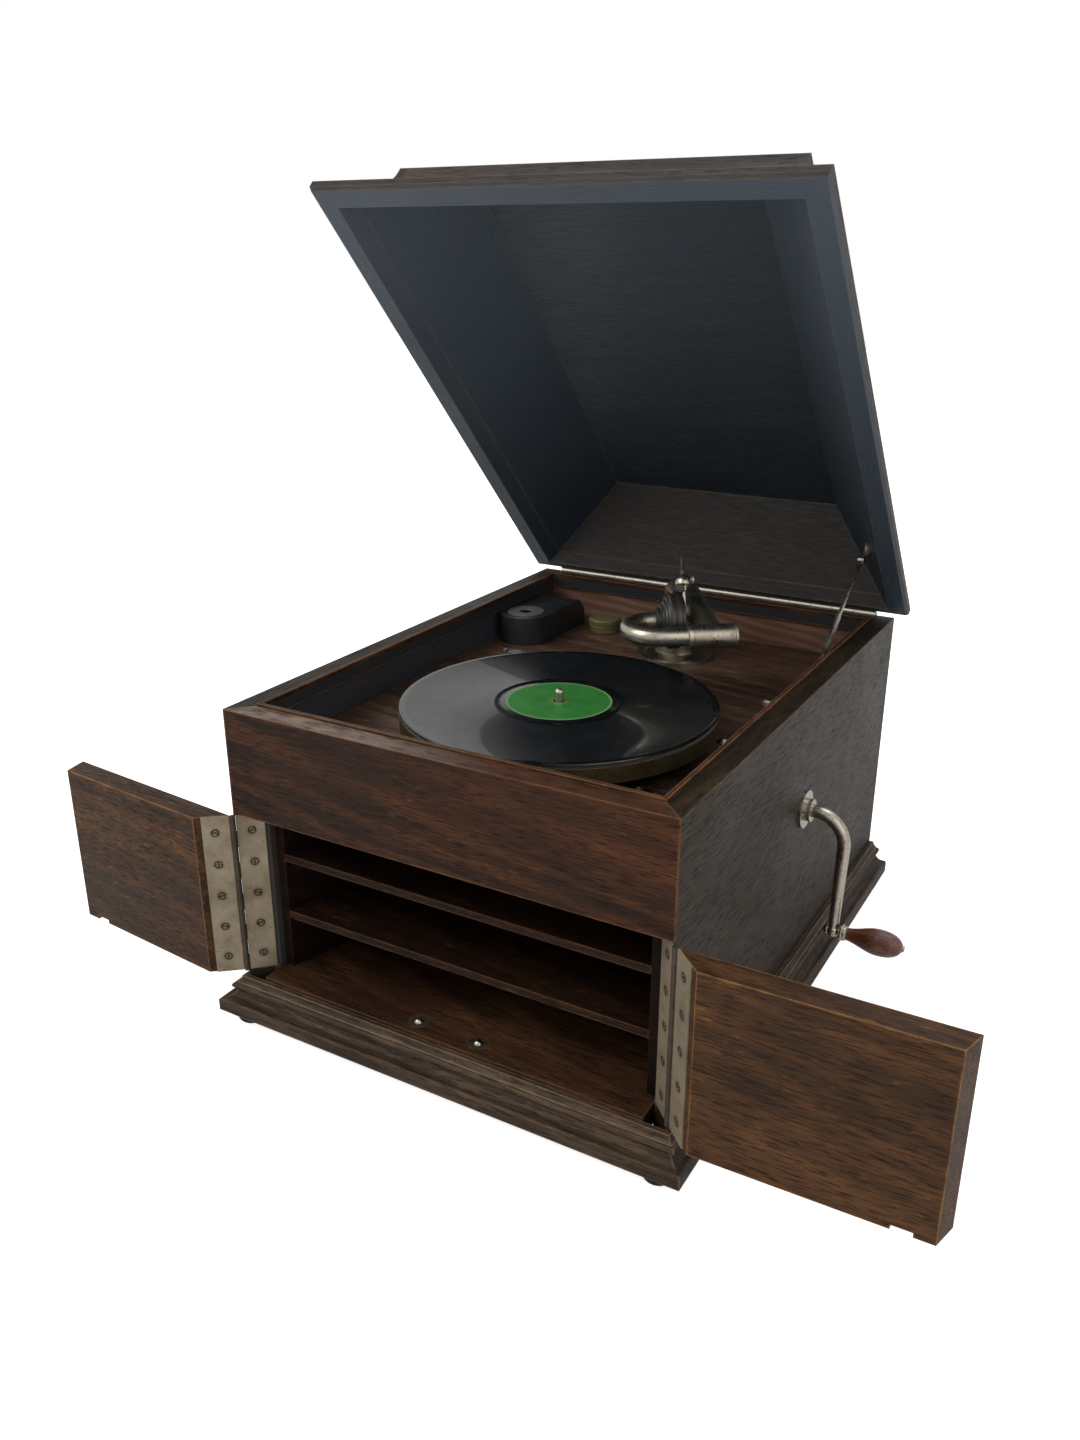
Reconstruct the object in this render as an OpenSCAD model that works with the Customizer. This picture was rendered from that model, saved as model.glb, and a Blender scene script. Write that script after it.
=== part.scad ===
// Table gramophone cabinet with lid, doors, horn, tonearm, crank and spring motor.
// X runs to the right, Y to the back, Z up. The origin is on the floor at the centre of the box.

/* [Cabinet] */
// Width of the box over its sides
box_w = 380; // [360:1:420]
// Depth of the box from front to back
box_d = 500; // [480:1:540]
// Height of the top rim above the floor
rim_h = 276; // [270:1:300]
// Thickness of the sides, the back and the fascia
wall_t = 18; // [14:1:20]
// Height of the bun feet
foot_h = 9.5; // [6:0.5:14]
// Radius of the bun feet
foot_r = 12; // [9:0.5:16]
// Distance of a foot's axis outside the box wall line, towards the moulding
foot_out = -3; // [-8:1:0]
// Distance of a front foot's axis ahead of the box front
foot_ahead = 3.5; // [0:0.5:5]
// Height of the sill, which is the top of the base board
sill_z = 42; // [38:1:50]
// Thickness of the base board
base_board_t = 18; // [12:1:22]
// Height of the fascia above the doors
fascia_h = 88; // [80:1:96]
// Thickness of the bead round the inside of the rim
bead_t = 3.5; // [2:0.5:5]
// Depth of that bead
bead_depth = 14; // [8:1:15]
// How far the bead stands above the rim
bead_proud = 2; // [0:0.5:3]

/* [Base moulding] */
// How far the moulding stands out from the box
mould_out = 19; // [12:1:24]
// Height of the moulding
mould_h = 29.5; // [28:0.5:36]
// Height of the flat band at its foot
mould_band_h = 11; // [8:0.5:16]
// Radius of the cove above the band
cove_r = 8; // [5:0.5:9]
// Radius of the bead above the cove
mould_bead_r = 2.5; // [1.5:0.25:3.5]

/* [Deck] */
// Depth of the motor board's top below the rim
deck_drop = 40; // [34:1:44]
// Thickness of the motor board
deck_t = 10; // [8:1:14]
// Thickness of the cleats that carry the motor board
cleat_t = 14; // [10:1:18]

/* [Lid] */
// Angle by which the lid stands open
lid_open = 46.5; // [30:0.5:60]
// How far the lid overhangs the sides
lid_over = 12.5; // [6:0.5:14]
// How far the lid overhangs the front
lid_over_front = 5.2; // [2:0.1:10]
// Thickness of the lid's moulded rim
lid_rim_t = 12; // [10:1:16]
// Height of the coved rails above the lid's underside
lid_cove_top = 63; // [56:1:70]
// Height of the raised panel's edge above the coved rails
panel_edge_h = 5; // [4:0.5:8]
// Overall height of the lid
lid_h = 92; // [90:1:100]
// Inset of the raised panel from the lid's edge
panel_inset = 41; // [34:1:50]
// Inset of the panel's flat centre from the lid's edge
field_inset = 68; // [56:1:70]
// Thickness of the panel's flat centre
panel_t = 10; // [9:0.5:12]
// Width of the lid's flat underside rim
lid_lip = 18; // [14:1:20]
// How far the side slopes run in inside the lid
slope_in_side = 67.5; // [50:0.5:72]
// How far the rear slope runs in inside the lid
slope_in_rear = 45; // [38:1:53]
// How far the front slope runs in inside the lid
slope_in_front = 50; // [40:1:70]
// Gap under the closed lid
lid_gap = 0.4; // [0.2:0.1:1]

/* [Doors] */
// Thickness of the doors
door_t = 20; // [18:0.5:26]
// Gap above and below the doors
door_gap_z = 2.2; // [1:0.1:3]
// Gap between the closed doors
door_gap_mid = 1.2; // [0.6:0.1:2]
// Angle by which the right door stands open
door_open_right = 181; // [120:1:182]
// Angle by which the left door stands open
door_open_left = 185; // [120:1:185]
// Thickness of the hinge leaves
leaf_t = 1.2; // [0.8:0.1:1.6]
// Width of the door hinge leaves
leaf_w = 24.5; // [20:0.5:29]
// Radius of the hinge knuckles
knuckle_r = 2.3; // [2:0.1:2.8]
// Radius of the hinge pins
hinge_pin_r = 1.2; // [1:0.05:1.4]
// Number of knuckles along a door hinge
door_knuckles = 10; // [6:2:14]
// Radius of the door knobs
knob_r = 8; // [6:0.5:11]
// Distance of a knob from the door's hinge
knob_reach = 162; // [140:1:170]

/* [Horn] */
// Thickness of the horn's cheeks
cheek_t = 7; // [6:1:12]
// Gap between the closed doors and the horn's cheeks
cheek_set = 5; // [1.5:0.5:8]
// Gap between the horn's cheeks and the box's sides at the mouth
cheek_gap = 2; // [0.5:0.5:12]
// Inside width of the horn at its throat
throat_w = 120; // [100:1:140]
// Thickness of the horn's top board
horn_top_t = 6; // [4:0.5:8]
// Thickness of the slats
slat_t = 6.5; // [5:0.5:11]
// Height of the lower slat's top above the sill
slat_low = 53; // [42:1:56]
// Depth of the upper slat's top below the fascia
slat_high = 40.5; // [36:0.5:56]
// Depth of the slats from front to back
slat_depth = 74; // [50:1:78]

/* [Turntable] */
// Sideways place of the turntable's axis
table_x = 13; // [5:1:20]
// Distance of the turntable's axis from the front of the box
table_front = 163; // [156:1:170]
// Radius of the platter and of the record
platter_r = 127; // [120:1:130]
// Height of the platter's rim
platter_h = 13; // [12:0.5:17]
// Gap between the motor board and the platter's rim
platter_gap = 15; // [10.5:0.5:16]
// Thickness of the record
record_t = 2; // [1.5:0.1:2.4]
// Radius of the spindle's tip
tip_r = 3.6; // [3:0.1:3.8]

/* [Tonearm] */
// Sideways place of the tonearm's pivot
arm_x = 8; // [0:1:15]
// Distance of the tonearm's pivot from the inside of the back
arm_back = 78; // [72:1:82]
// Angle of the arm to the right of straight ahead
arm_turn = 34.4; // [30:0.1:36]
// Distance from the pivot to the cross head's axis
arm_len = 158.7; // [150:0.1:165]
// Height of the cross head's axis above the motor board
head_rise = 69; // [64:1:72]
// Radius of the arm's tube at its elbow
arm_root_r = 14.5; // [12:0.5:16]
// Radius of the arm's tube at the cross head
arm_tip_r = 9.5; // [8:0.5:10]
// Radius of the cross head
head_r = 10.3; // [9:0.1:11]
// Half the length of the cross head
head_half = 18.5; // [16:0.5:22]
// Radius of the gooseneck's tube
neck_r = 7.8; // [6:0.1:8]
// Radius of the gooseneck's bend, at the middle of the tube
bend_r = 23; // [20:0.5:26]
// Radius of the sound box
box_r = 24; // [22:0.5:27]
// Reach of the needle's tip from the middle of the sound box
needle_reach = 58; // [54:0.5:60]
// Angle of the thrown-back needle above the level
needle_lift = 60; // [50:1:75]

/* [Crank] */
// Distance of the crank's axis behind the turntable's axis
crank_behind = 97; // [90:1:104]
// Depth of the crank's axis below the motor board's top
crank_drop = 61; // [56:1:66]
// Distance of the crank's arm from the side of the box
crank_out = 36; // [34:1:60]
// Length of the crank's arm
crank_arm = 99; // [80:1:102]
// Angle of the crank's arm to the front of straight down
crank_lean = 6; // [0:1:30]
// Radius of the crank's rod
rod_r = 5.3; // [4:0.1:6]
// Radius of the bend in the crank's rod
rod_bend_r = 26; // [18:1:30]
// Length of the wooden grip
grip_len = 52; // [45:1:70]
// Largest radius of the grip
grip_r = 11; // [8:0.5:13]

/* [Motor] */
// Teeth of the barrel gear
barrel_teeth = 72; // [72:72]
// Teeth of the pinion that the barrel drives
pinion_teeth = 18; // [18:18]
// Teeth of the intermediate wheel
wheel_teeth = 60; // [60:60]
// Module of the barrel gear
barrel_module = 1.5; // [1.5:1.5]
// Module of the intermediate wheel
wheel_module = 1; // [1:1]
// Radius of the spring barrel
barrel_r = 50; // [40:0.5:50]
// Thickness of the motor's plates
plate_t = 4; // [3:0.5:5]

/* [Hidden] */
$fn = 64;
fine_fn = 96;
eps = 0.01;

oak = "#4a3226";
dark_oak = "#3a2a24";
nickel = "#a39c8c";
dark_nickel = "#6f6a62";
black = "#1c1c20";

// Box
half_w = box_w / 2;
half_d = box_d / 2;
inner_x = half_w - wall_t;
inner_y = half_d - wall_t;
fascia_z = rim_h - fascia_h;
deck_z = rim_h - deck_drop;
head_z = deck_z + head_rise;
crank_z = deck_z - crank_drop;
table_y = -half_d + table_front;
arm_y = inner_y - arm_back;
crank_y = table_y + crank_behind;
slat_low_z = sill_z + slat_low;
slat_high_z = fascia_z - slat_high;
door_z0 = sill_z + door_gap_z;
door_z1 = fascia_z - door_gap_z;
door_h = door_z1 - door_z0;
fit_gap = 0.3;
face_gap = 0.05;

// Hinges
pin_gap = 0.06;
relief_gap = 0.3;
hinge_out = 0.7;
hinge_x = half_w + hinge_out;
hinge_y = -half_d - hinge_out;
knuckle_gap = 0.3;
leaf_gap = 0.15;
mitre_back = leaf_gap + leaf_t + face_gap;
door_len = hinge_x - door_gap_mid / 2;
screw_r = 3;
screw_count = 5;

// Lid
lid_axis_y = half_d + 2.8;
lid_half_w = half_w + lid_over;
lid_len = lid_axis_y + half_d + lid_over_front;
lid_back = 2.8;
lid_knuckle_r = 2.6;
lid_leaf_w = 10.5;
lid_leaf_t = 1;
lid_knuckles = 16;
lid_hinge_len = box_w - 2 * wall_t;
ceiling_n = lid_h - panel_t;
rear_less = max(0, panel_inset + 14 - slope_in_rear);

// Deck parts
platter_z = deck_z + platter_gap;
mat_t = 2;
record_z = platter_z + platter_h + mat_t;
spindle_top = record_z + 10;
spindle_r = 4;

// Motor
motor_top_z = deck_z - deck_t - 2;
motor_low_z = deck_z - 78;
barrel_x = table_x;
barrel_y = crank_y;
barrel_pitch = barrel_teeth * barrel_module / 2;
pinion_pitch = pinion_teeth * barrel_module / 2;
wheel_pitch = wheel_teeth * wheel_module / 2;
drive_pitch = pinion_teeth * wheel_module / 2;
reach_barrel = barrel_pitch + pinion_pitch;
reach_table = wheel_pitch + drive_pitch;
axis_gap = barrel_y - table_y;
mid_along = (pow(reach_table, 2) - pow(reach_barrel, 2) + pow(axis_gap, 2)) / (2 * axis_gap);
mid_x = table_x + sqrt(pow(reach_table, 2) - pow(mid_along, 2));
mid_y = table_y + mid_along;
worm_wheel_r = 15;
worm_r = 5;
governor_gap = 0.4;
governor_y = table_y - worm_wheel_r - worm_r - governor_gap;
governor_z = crank_z;
bolt_reach = 118;
bolt_x = [table_x - bolt_reach, table_x + bolt_reach];
bolt_y = [table_y + 59, barrel_y + 63];
bolt_r = 2.5;

// Stay
stay_s = 82;
stay_n = 6;
stay_x = inner_x - 6.5;
stay_len = 146;
stay_slot_z = rim_h - 21;
stay_pin_r = 2;
slot_play = 2.3;

function polar(r, a) = [r * cos(a), r * sin(a)];
function involute_angle(base_r, r) = sqrt(pow(r / base_r, 2) - 1) * 180 / PI - acos(base_r / r);

// ---- shared shapes ----

// A plate or board between two corners
module board(x0, x1, y0, y1, z0, z1) {
    translate([x0, y0, z0]) cube([x1 - x0, y1 - y0, z1 - z0]);
}

// A prism along X whose outline is given in Y and Z
module prism_x(x0, x1, outline) {
    translate([x0, 0, 0]) rotate([90, 0, 90]) linear_extrude(x1 - x0) polygon(outline);
}

// A prism along Y whose outline is given in X and Z
module prism_y(y0, y1, outline) {
    translate([0, y1, 0]) rotate([90, 0, 0]) linear_extrude(y1 - y0) polygon(outline);
}

// A countersunk screw, its head flush with z = 0 and its slot on top
module countersunk_screw(head_r, depth) {
    slot_w = head_r * 0.3;
    difference() {
        union() {
            translate([0, 0, -head_r * 0.6]) cylinder(h = head_r * 0.6, r1 = head_r * 0.45, r2 = head_r, $fn = 32);
            translate([0, 0, -depth]) cylinder(h = depth - head_r * 0.5, r = head_r * 0.45, $fn = 32);
        }
        translate([-head_r * 2, -slot_w / 2, -head_r * 0.2]) cube([head_r * 4, slot_w, head_r]);
    }
}

// The seat for a countersunk screw
module screw_seat(head_r, depth) {
    translate([0, 0, -head_r * 0.6 - face_gap])
        cylinder(h = head_r * 0.6 + 2 * face_gap, r1 = head_r * 0.45 + face_gap, r2 = head_r + 2 * face_gap, $fn = 32);
    translate([0, 0, -depth - face_gap]) cylinder(h = depth, r = head_r * 0.45 + face_gap, $fn = 32);
}

// One flank of an involute tooth, from the root to the tip
function flank(pitch_r, base_r, root_r, tip_r, half_deg, side) = [
    for (i = [0 : 4])
        let (r0 = max(root_r, base_r + eps), r = r0 + (tip_r - r0) * i / 4)
        polar(r, side * (half_deg + involute_angle(base_r, pitch_r) - involute_angle(base_r, r)))];

// A spur gear outline with a tooth on the X axis
module gear_outline(teeth, gear_module) {
    pitch_r = teeth * gear_module / 2;
    base_r = pitch_r * cos(20);
    root_r = pitch_r - 1.05 * gear_module;
    tip_r = pitch_r + 0.8 * gear_module;
    backlash = 0.12;
    half_deg = 90 / teeth - backlash / pitch_r * 90 / PI;
    polygon([for (k = [0 : teeth - 1])
        let (turn = k * 360 / teeth,
             right = flank(pitch_r, base_r, root_r, tip_r, half_deg, -1),
             left = flank(pitch_r, base_r, root_r, tip_r, half_deg, 1),
             pts = concat([polar(root_r, -180 / teeth)], [polar(root_r, -half_deg - 3.2 * 18 / teeth)],
                          right, [for (i = [4 : -1 : 0]) left[i]], [polar(root_r, half_deg + 3.2 * 18 / teeth)]))
        for (p = pts) [p[0] * cos(turn) - p[1] * sin(turn), p[0] * sin(turn) + p[1] * cos(turn)]]);
}

// ---- cabinet ----

// Plan of the right side panel, with its mitred front edge
module side_plan() {
    polygon([[inner_x, half_d], [half_w, half_d], [half_w, -half_d], [inner_x, -inner_y]]);
}

// Cutter that clears the leaf and the knuckles on the cabinet's right mitre
module cabinet_mitre_cut() {
    translate([hinge_x, hinge_y, door_z0]) {
        rotate([0, 0, 135]) translate([-6, -mitre_back, 0]) cube([wall_t * 2.4, 1 + mitre_back, door_h]);
        cylinder(h = door_h, r = knuckle_r + relief_gap);
    }
}

module mirrored(side) {
    if (side < 0) mirror([1, 0, 0]) children();
    else children();
}

module leaf_screw_places(skip = 0) {
    step = door_h / screw_count;
    for (i = [0 : screw_count - 1])
        translate([0, 0, door_z0 + step * (i + 0.5)]) children();
}

// Puts screws on the cabinet's right leaf, head outwards
module on_cabinet_leaf() {
    leaf_screw_places()
        translate([hinge_x, hinge_y, 0]) rotate([0, 0, 135])
            translate([leaf_w * 0.58, -leaf_gap, 0]) rotate([-90, 0, 0]) children();
}

module side_panel(side) {
    mirrored(side) difference() {
        translate([0, 0, foot_h]) linear_extrude(rim_h - foot_h) side_plan();
        cabinet_mitre_cut();
        on_cabinet_leaf() screw_seat(screw_r, 12);
        if (side > 0) {
            translate([inner_x - 1, crank_y, crank_z]) rotate([0, 90, 0]) cylinder(h = wall_t + 2, r = 8);
            on_escutcheon() screw_seat(1.75, 9);
        }
    }
}

module side_panel_left() { color(oak) side_panel(-1); }

module side_panel_right() { color(oak) side_panel(1); }

module back_panel() {
    color(oak) difference() {
        board(-inner_x, inner_x, inner_y, half_d, foot_h, rim_h);
        lid_leaf_bed();
    }
}

module front_fascia() {
    color(oak) translate([0, 0, fascia_z]) linear_extrude(fascia_h)
        polygon([[-half_w, -half_d], [half_w, -half_d], [inner_x, -inner_y], [-inner_x, -inner_y]]);
}

module base_board() {
    color(dark_oak) difference() {
        board(-inner_x, inner_x, -half_d, inner_y, sill_z - base_board_t, sill_z);
        for (side = [-1, 1]) translate([side * catch_x, catch_y, 0]) {
            translate([0, 0, sill_z - catch_plate_t]) cylinder(h = 5, r = catch_plate_r + face_gap);
            translate([0, 0, sill_z - catch_depth]) cylinder(h = catch_depth + 1, r = catch_ball_r + 0.4);
        }
    }
}

// Cross-section of the base moulding: X is the distance out from the wall, Y the height
module moulding_profile() {
    edge_r = 2;
    z1 = foot_h + mould_band_h;
    step_out = mould_out - 4;
    cove_z = z1 + cove_r;
    bead_z = cove_z + mould_bead_r;
    bead_out = step_out - cove_r + mould_bead_r / 2;
    top_z = foot_h + mould_h;
    translate([0, foot_h]) square([mould_out - edge_r, mould_band_h]);
    translate([0, foot_h]) square([mould_out, mould_band_h - edge_r]);
    translate([mould_out - edge_r, z1 - edge_r]) circle(r = edge_r, $fn = 32);
    difference() {
        translate([0, z1 - eps]) square([step_out, cove_r + eps]);
        translate([step_out + eps, cove_z]) circle(r = cove_r, $fn = 48);
    }
    translate([0, cove_z - eps]) square([bead_out, 2 * mould_bead_r + eps]);
    translate([bead_out, bead_z]) circle(r = mould_bead_r, $fn = 32);
    difference() {
        translate([0, bead_z]) square([bead_out - 1, top_z - bead_z]);
        translate([bead_out + 1.5, top_z]) circle(r = top_z - bead_z - mould_bead_r, $fn = 48);
    }
}

// A length of moulding that stands out towards -Y, cut to its own plan
module moulding_length(half_len, plan) {
    intersection() {
        translate([-half_len - mould_out, 0, 0]) rotate([90, 0, 90])
            linear_extrude(2 * (half_len + mould_out)) mirror([1, 0]) moulding_profile();
        linear_extrude(foot_h + mould_h + 1) polygon(plan);
    }
}

module base_moulding() {
    reach = mould_out + 2;
    gap = face_gap / 2;
    color(dark_oak) {
        translate([0, -half_d, 0]) moulding_length(half_w,
            [[-half_w + gap, 1], [-half_w + gap, -gap], [-half_w - reach + gap, -reach],
             [half_w + reach - gap, -reach], [half_w - gap, -gap], [half_w - gap, 1]]);
        for (side = [-1, 1]) mirrored(side) translate([half_w, 0, 0]) rotate([0, 0, 90])
            moulding_length(half_d,
                [[-half_d + gap, 1], [-half_d + gap, -gap], [-half_d - reach + gap, -reach],
                 [half_d, -reach], [half_d, 1]]);
    }
}

module bun_feet() {
    color(dark_oak) for (sx = [-1, 1], y = [-half_d - foot_ahead, half_d - foot_r - 6])
        translate([sx * (half_w + foot_out), y, 0]) rotate_extrude($fn = 48) {
            square([foot_r - 3, foot_h]);
            intersection() {
                translate([0, 0]) square([foot_r, foot_h]);
                translate([foot_r - foot_h / 2, foot_h / 2]) circle(r = foot_h / 2, $fn = 32);
            }
        }
}

module rim_bead() {
    z0 = rim_h - bead_depth + bead_proud;
    z1 = rim_h + bead_proud;
    color(dark_oak) for (side = [-1, 1]) {
        scale([side, 1, 1]) board(inner_x - bead_t, inner_x, -inner_y + bead_t + face_gap, inner_y - bead_t - face_gap, z0, z1);
        scale([1, side, 1]) board(-inner_x, inner_x, inner_y - bead_t, inner_y, z0, z1);
    }
}

module motor_board() {
    color(oak) difference() {
        board(-inner_x + fit_gap, inner_x - fit_gap, -inner_y + fit_gap, inner_y - fit_gap,
              deck_z - deck_t, deck_z);
        translate([table_x, table_y, deck_z - deck_t - 1]) cylinder(h = deck_t + 2, r = 10);
        translate([arm_x, arm_y, deck_z - deck_t - 1]) cylinder(h = deck_t + 2, r = elbow_bore_r);
        for (x = bolt_x, y = bolt_y) translate([x, y, deck_z - deck_t - 1]) cylinder(h = deck_t + 2, r = bolt_r + 0.4);
        translate([brake_x, brake_y, deck_z - deck_t - 1]) cylinder(h = deck_t + 2, r = 2.1);
        translate([speed_x, speed_y, deck_z - deck_t - 1]) cylinder(h = deck_t + 2, r = 2.6);
    }
}

module board_cleats() {
    color(dark_oak) for (sx = [-1, 1]) mirrored(sx)
        board(inner_x - cleat_t, inner_x, -inner_y, inner_y, deck_z - deck_t - cleat_t, deck_z - deck_t);
}

// ---- horn ----
cheek_front = -half_d + door_t + cheek_set;
elbow_depth = 74;
throat_y = arm_y - elbow_depth + 30;
mouth_half = inner_x - cheek_gap - cheek_t;
throat_half = throat_w / 2;
horn_top_front = fascia_z - horn_top_t;
horn_top_low = motor_low_z - horn_top_t - 6;
horn_top_break = table_y - 59;
horn_top_throat = horn_top_low - 26;

function horn_under(y) = y < horn_top_break
    ? horn_top_front + (horn_top_low - horn_top_front) * (y - cheek_front) / (horn_top_break - cheek_front)
    : horn_top_low + (horn_top_throat - horn_top_low) * (y - horn_top_break) / (throat_y - horn_top_break);
function cheek_in(y) = mouth_half + (throat_half - mouth_half) * (y - cheek_front) / (throat_y - cheek_front);

module horn_cheeks() {
    color(dark_oak) for (side = [-1, 1]) mirrored(side) intersection() {
        translate([0, 0, sill_z]) linear_extrude(rim_h)
            polygon([[mouth_half, cheek_front], [mouth_half + cheek_t, cheek_front],
                     [throat_half + cheek_t, throat_y], [throat_half, throat_y]]);
        prism_x(0, half_w, [[cheek_front, sill_z], [throat_y, sill_z], [throat_y, horn_under(throat_y)],
                            [horn_top_break, horn_under(horn_top_break)], [cheek_front, horn_under(cheek_front)]]);
    }
}

module horn_top_board() {
    color(dark_oak) intersection() {
        translate([0, 0, sill_z]) linear_extrude(rim_h)
            polygon([[-mouth_half - cheek_t, cheek_front], [mouth_half + cheek_t, cheek_front],
                     [throat_half + cheek_t, throat_y], [-throat_half - cheek_t, throat_y]]);
        prism_x(-half_w, half_w,
            [[cheek_front, horn_under(cheek_front)], [horn_top_break, horn_under(horn_top_break)],
             [throat_y, horn_under(throat_y)], [throat_y, horn_under(throat_y) + horn_top_t],
             [horn_top_break, horn_under(horn_top_break) + horn_top_t],
             [cheek_front, horn_under(cheek_front) + horn_top_t]]);
    }
}

module horn_slats() {
    y0 = cheek_front;
    y1 = cheek_front + slat_depth;
    color(dark_oak) for (z = [slat_low_z, slat_high_z])
        translate([0, 0, z - slat_t]) linear_extrude(slat_t)
            polygon([[-cheek_in(y0) + face_gap, y0], [cheek_in(y0) - face_gap, y0],
                     [cheek_in(y1) - face_gap, y1], [-cheek_in(y1) + face_gap, y1]]);
}

elbow_wall = 8;
elbow_bore_r = 23;
elbow_tube_r = 28;

module horn_elbow() {
    z1 = horn_under(throat_y);
    x1 = throat_half + elbow_wall;
    y1 = throat_y + elbow_depth;
    color(black) difference() {
        union() {
            board(-x1, x1, throat_y, y1, sill_z, z1);
            translate([arm_x, arm_y, z1 - 1]) cylinder(h = deck_z - deck_t - z1 + 1, r = elbow_tube_r);
        }
        board(-throat_half, throat_half, throat_y - 1, y1 - elbow_wall, sill_z + 2, z1 - elbow_wall);
        translate([arm_x, arm_y, z1 - elbow_wall - 1]) cylinder(h = deck_z, r = elbow_bore_r);
    }
}

// ---- door hinges ----

// A hinge leaf along X with every second knuckle round the Z axis, its pin's place
module hinge_leaf(length, width, thick, y0, barrel_r, knuckles, first) {
    pitch = length / knuckles;
    start = barrel_r + relief_gap;
    translate([start, y0, 0]) cube([width - start, thick, length]);
    for (i = [first : 2 : knuckles - 1])
        translate([0, 0, i * pitch + knuckle_gap / 2]) difference() {
            union() {
                cylinder(h = pitch - knuckle_gap, r = barrel_r, $fn = 32);
                translate([0, y0, 0]) cube([start + 1, thick, pitch - knuckle_gap]);
            }
            translate([0, 0, -1]) cylinder(h = pitch + 2, r = hinge_pin_r + pin_gap, $fn = 32);
        }
}

// The cabinet's right leaf, lying on the mitre
module cabinet_leaf() {
    difference() {
        translate([hinge_x, hinge_y, door_z0]) rotate([0, 0, 135])
            hinge_leaf(door_h, leaf_w, leaf_t, -leaf_gap - leaf_t, knuckle_r, door_knuckles, 0);
        on_cabinet_leaf() screw_seat(screw_r, 12);
    }
}

module cabinet_door_leaves() {
    color(nickel) for (side = [-1, 1]) mirrored(side) {
        cabinet_leaf();
        on_cabinet_leaf() countersunk_screw(screw_r - 0.05, 11);
    }
}

module door_hinge_pins() {
    color(nickel) for (side = [-1, 1]) mirrored(side)
        translate([hinge_x, hinge_y, door_z0 + 0.2]) cylinder(h = door_h - 0.4, r = hinge_pin_r, $fn = 32);
}

// Turns a right-hand piece from its closed to its open place
module opened(angle) {
    translate([hinge_x, hinge_y, 0]) rotate([0, 0, angle]) translate([-hinge_x, -hinge_y, 0]) children();
}

module on_door_leaf() {
    leaf_screw_places()
        translate([hinge_x, hinge_y, 0]) rotate([0, 0, 135])
            translate([leaf_w * 0.58, leaf_gap, 0]) rotate([90, 0, 0]) children();
}

// The right door, closed
module door_panel() {
    inner = door_t + hinge_out;
    difference() {
        translate([hinge_x, hinge_y, door_z0]) linear_extrude(door_h) difference() {
            polygon([[-door_len, hinge_out], [-door_len + door_bevel, inner],
                     [-inner - mitre_back * sqrt(2), inner], [-hinge_out - mitre_back * sqrt(2), hinge_out]]);
            circle(r = knuckle_r + relief_gap);
        }
        on_door_leaf() screw_seat(screw_r, 12);
        translate([catch_x - strike_w / 2, -half_d + door_t - strike_d, door_z0 - 1])
            cube([strike_w, strike_d + 3, strike_h + 1]);
        translate([hinge_x - knob_reach, -half_d - 1, knob_z]) rotate([-90, 0, 0]) cylinder(h = 13, r = knob_pin_r + face_gap);
    }
}

// The right door's leaf with its screws, closed
module door_leaf_closed() {
    difference() {
        translate([hinge_x, hinge_y, door_z0]) rotate([0, 0, 135])
            hinge_leaf(door_h, leaf_w, leaf_t, leaf_gap, knuckle_r, door_knuckles, 1);
        on_door_leaf() screw_seat(screw_r, 12);
    }
    on_door_leaf() countersunk_screw(screw_r - 0.05, 11);
}

knob_z = (door_z0 + door_z1) / 2;
knob_pin_r = 2.5;
knob_out = 14;
door_bevel = 6;

// The right door's turned knob, closed
module knob_closed() {
    translate([hinge_x - knob_reach, -half_d, knob_z]) rotate([90, 0, 0]) {
        translate([0, 0, -12]) cylinder(h = 13, r = knob_pin_r, $fn = 32);
        rotate_extrude($fn = 48) {
            square([knob_r * 0.75, 2]);
            square([knob_r * 0.45, knob_out - 3]);
            intersection() {
                translate([0, knob_out - knob_r * 0.62]) circle(r = knob_r * 0.62 , $fn = 48);
                square([knob_r, knob_out]);
            }
            translate([0, knob_out - knob_r * 0.9]) square([knob_r * 0.95, knob_r * 0.5]);
        }
    }
}

module door_left() { color(oak) mirror([1, 0, 0]) opened(door_open_left) door_panel(); }

module door_right() { color(oak) opened(door_open_right) door_panel(); }

module door_leaf_left() { color(nickel) mirror([1, 0, 0]) opened(door_open_left) door_leaf_closed(); }

module door_leaf_right() { color(nickel) opened(door_open_right) door_leaf_closed(); }

module door_knob_left() { color(dark_oak) mirror([1, 0, 0]) opened(door_open_left) knob_closed(); }

module door_knob_right() { color(dark_oak) opened(door_open_right) knob_closed(); }

// ---- ball catches ----
catch_x = 27.5;
catch_y = -half_d + 14;
catch_ball_r = 4;
catch_proud = 2.5;
catch_plate_r = 8;
catch_plate_t = 1.2;
catch_depth = 14;
strike_w = 14;
strike_h = 3.4;
strike_d = 10;

module catch_plates() {
    color(nickel) for (side = [-1, 1]) translate([side * catch_x, catch_y, sill_z - catch_plate_t])
        difference() {
            cylinder(h = catch_plate_t, r = catch_plate_r, $fn = 48);
            translate([0, 0, -1]) cylinder(h = catch_plate_t + 2, r = catch_ball_r + 0.1, $fn = 48);
        }
}

// A catch's ball with the stem that its spring pushes on
module catch_ball(side) {
    color(nickel) translate([side * catch_x, catch_y, sill_z + catch_proud - catch_ball_r]) {
        sphere(r = catch_ball_r, $fn = 48);
        translate([0, 0, -catch_ball_r - 2]) cylinder(h = catch_ball_r + 2, r = 2, $fn = 32);
    }
}

module catch_ball_left() { catch_ball(-1); }

module catch_ball_right() { catch_ball(1); }

// ---- lid ----

// Moves a lid piece from its closed to its open place; closed, its hinge is the origin and Z its height
module lid_place() {
    translate([0, lid_axis_y, rim_h]) rotate([-lid_open, 0, 0]) children();
}

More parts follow.
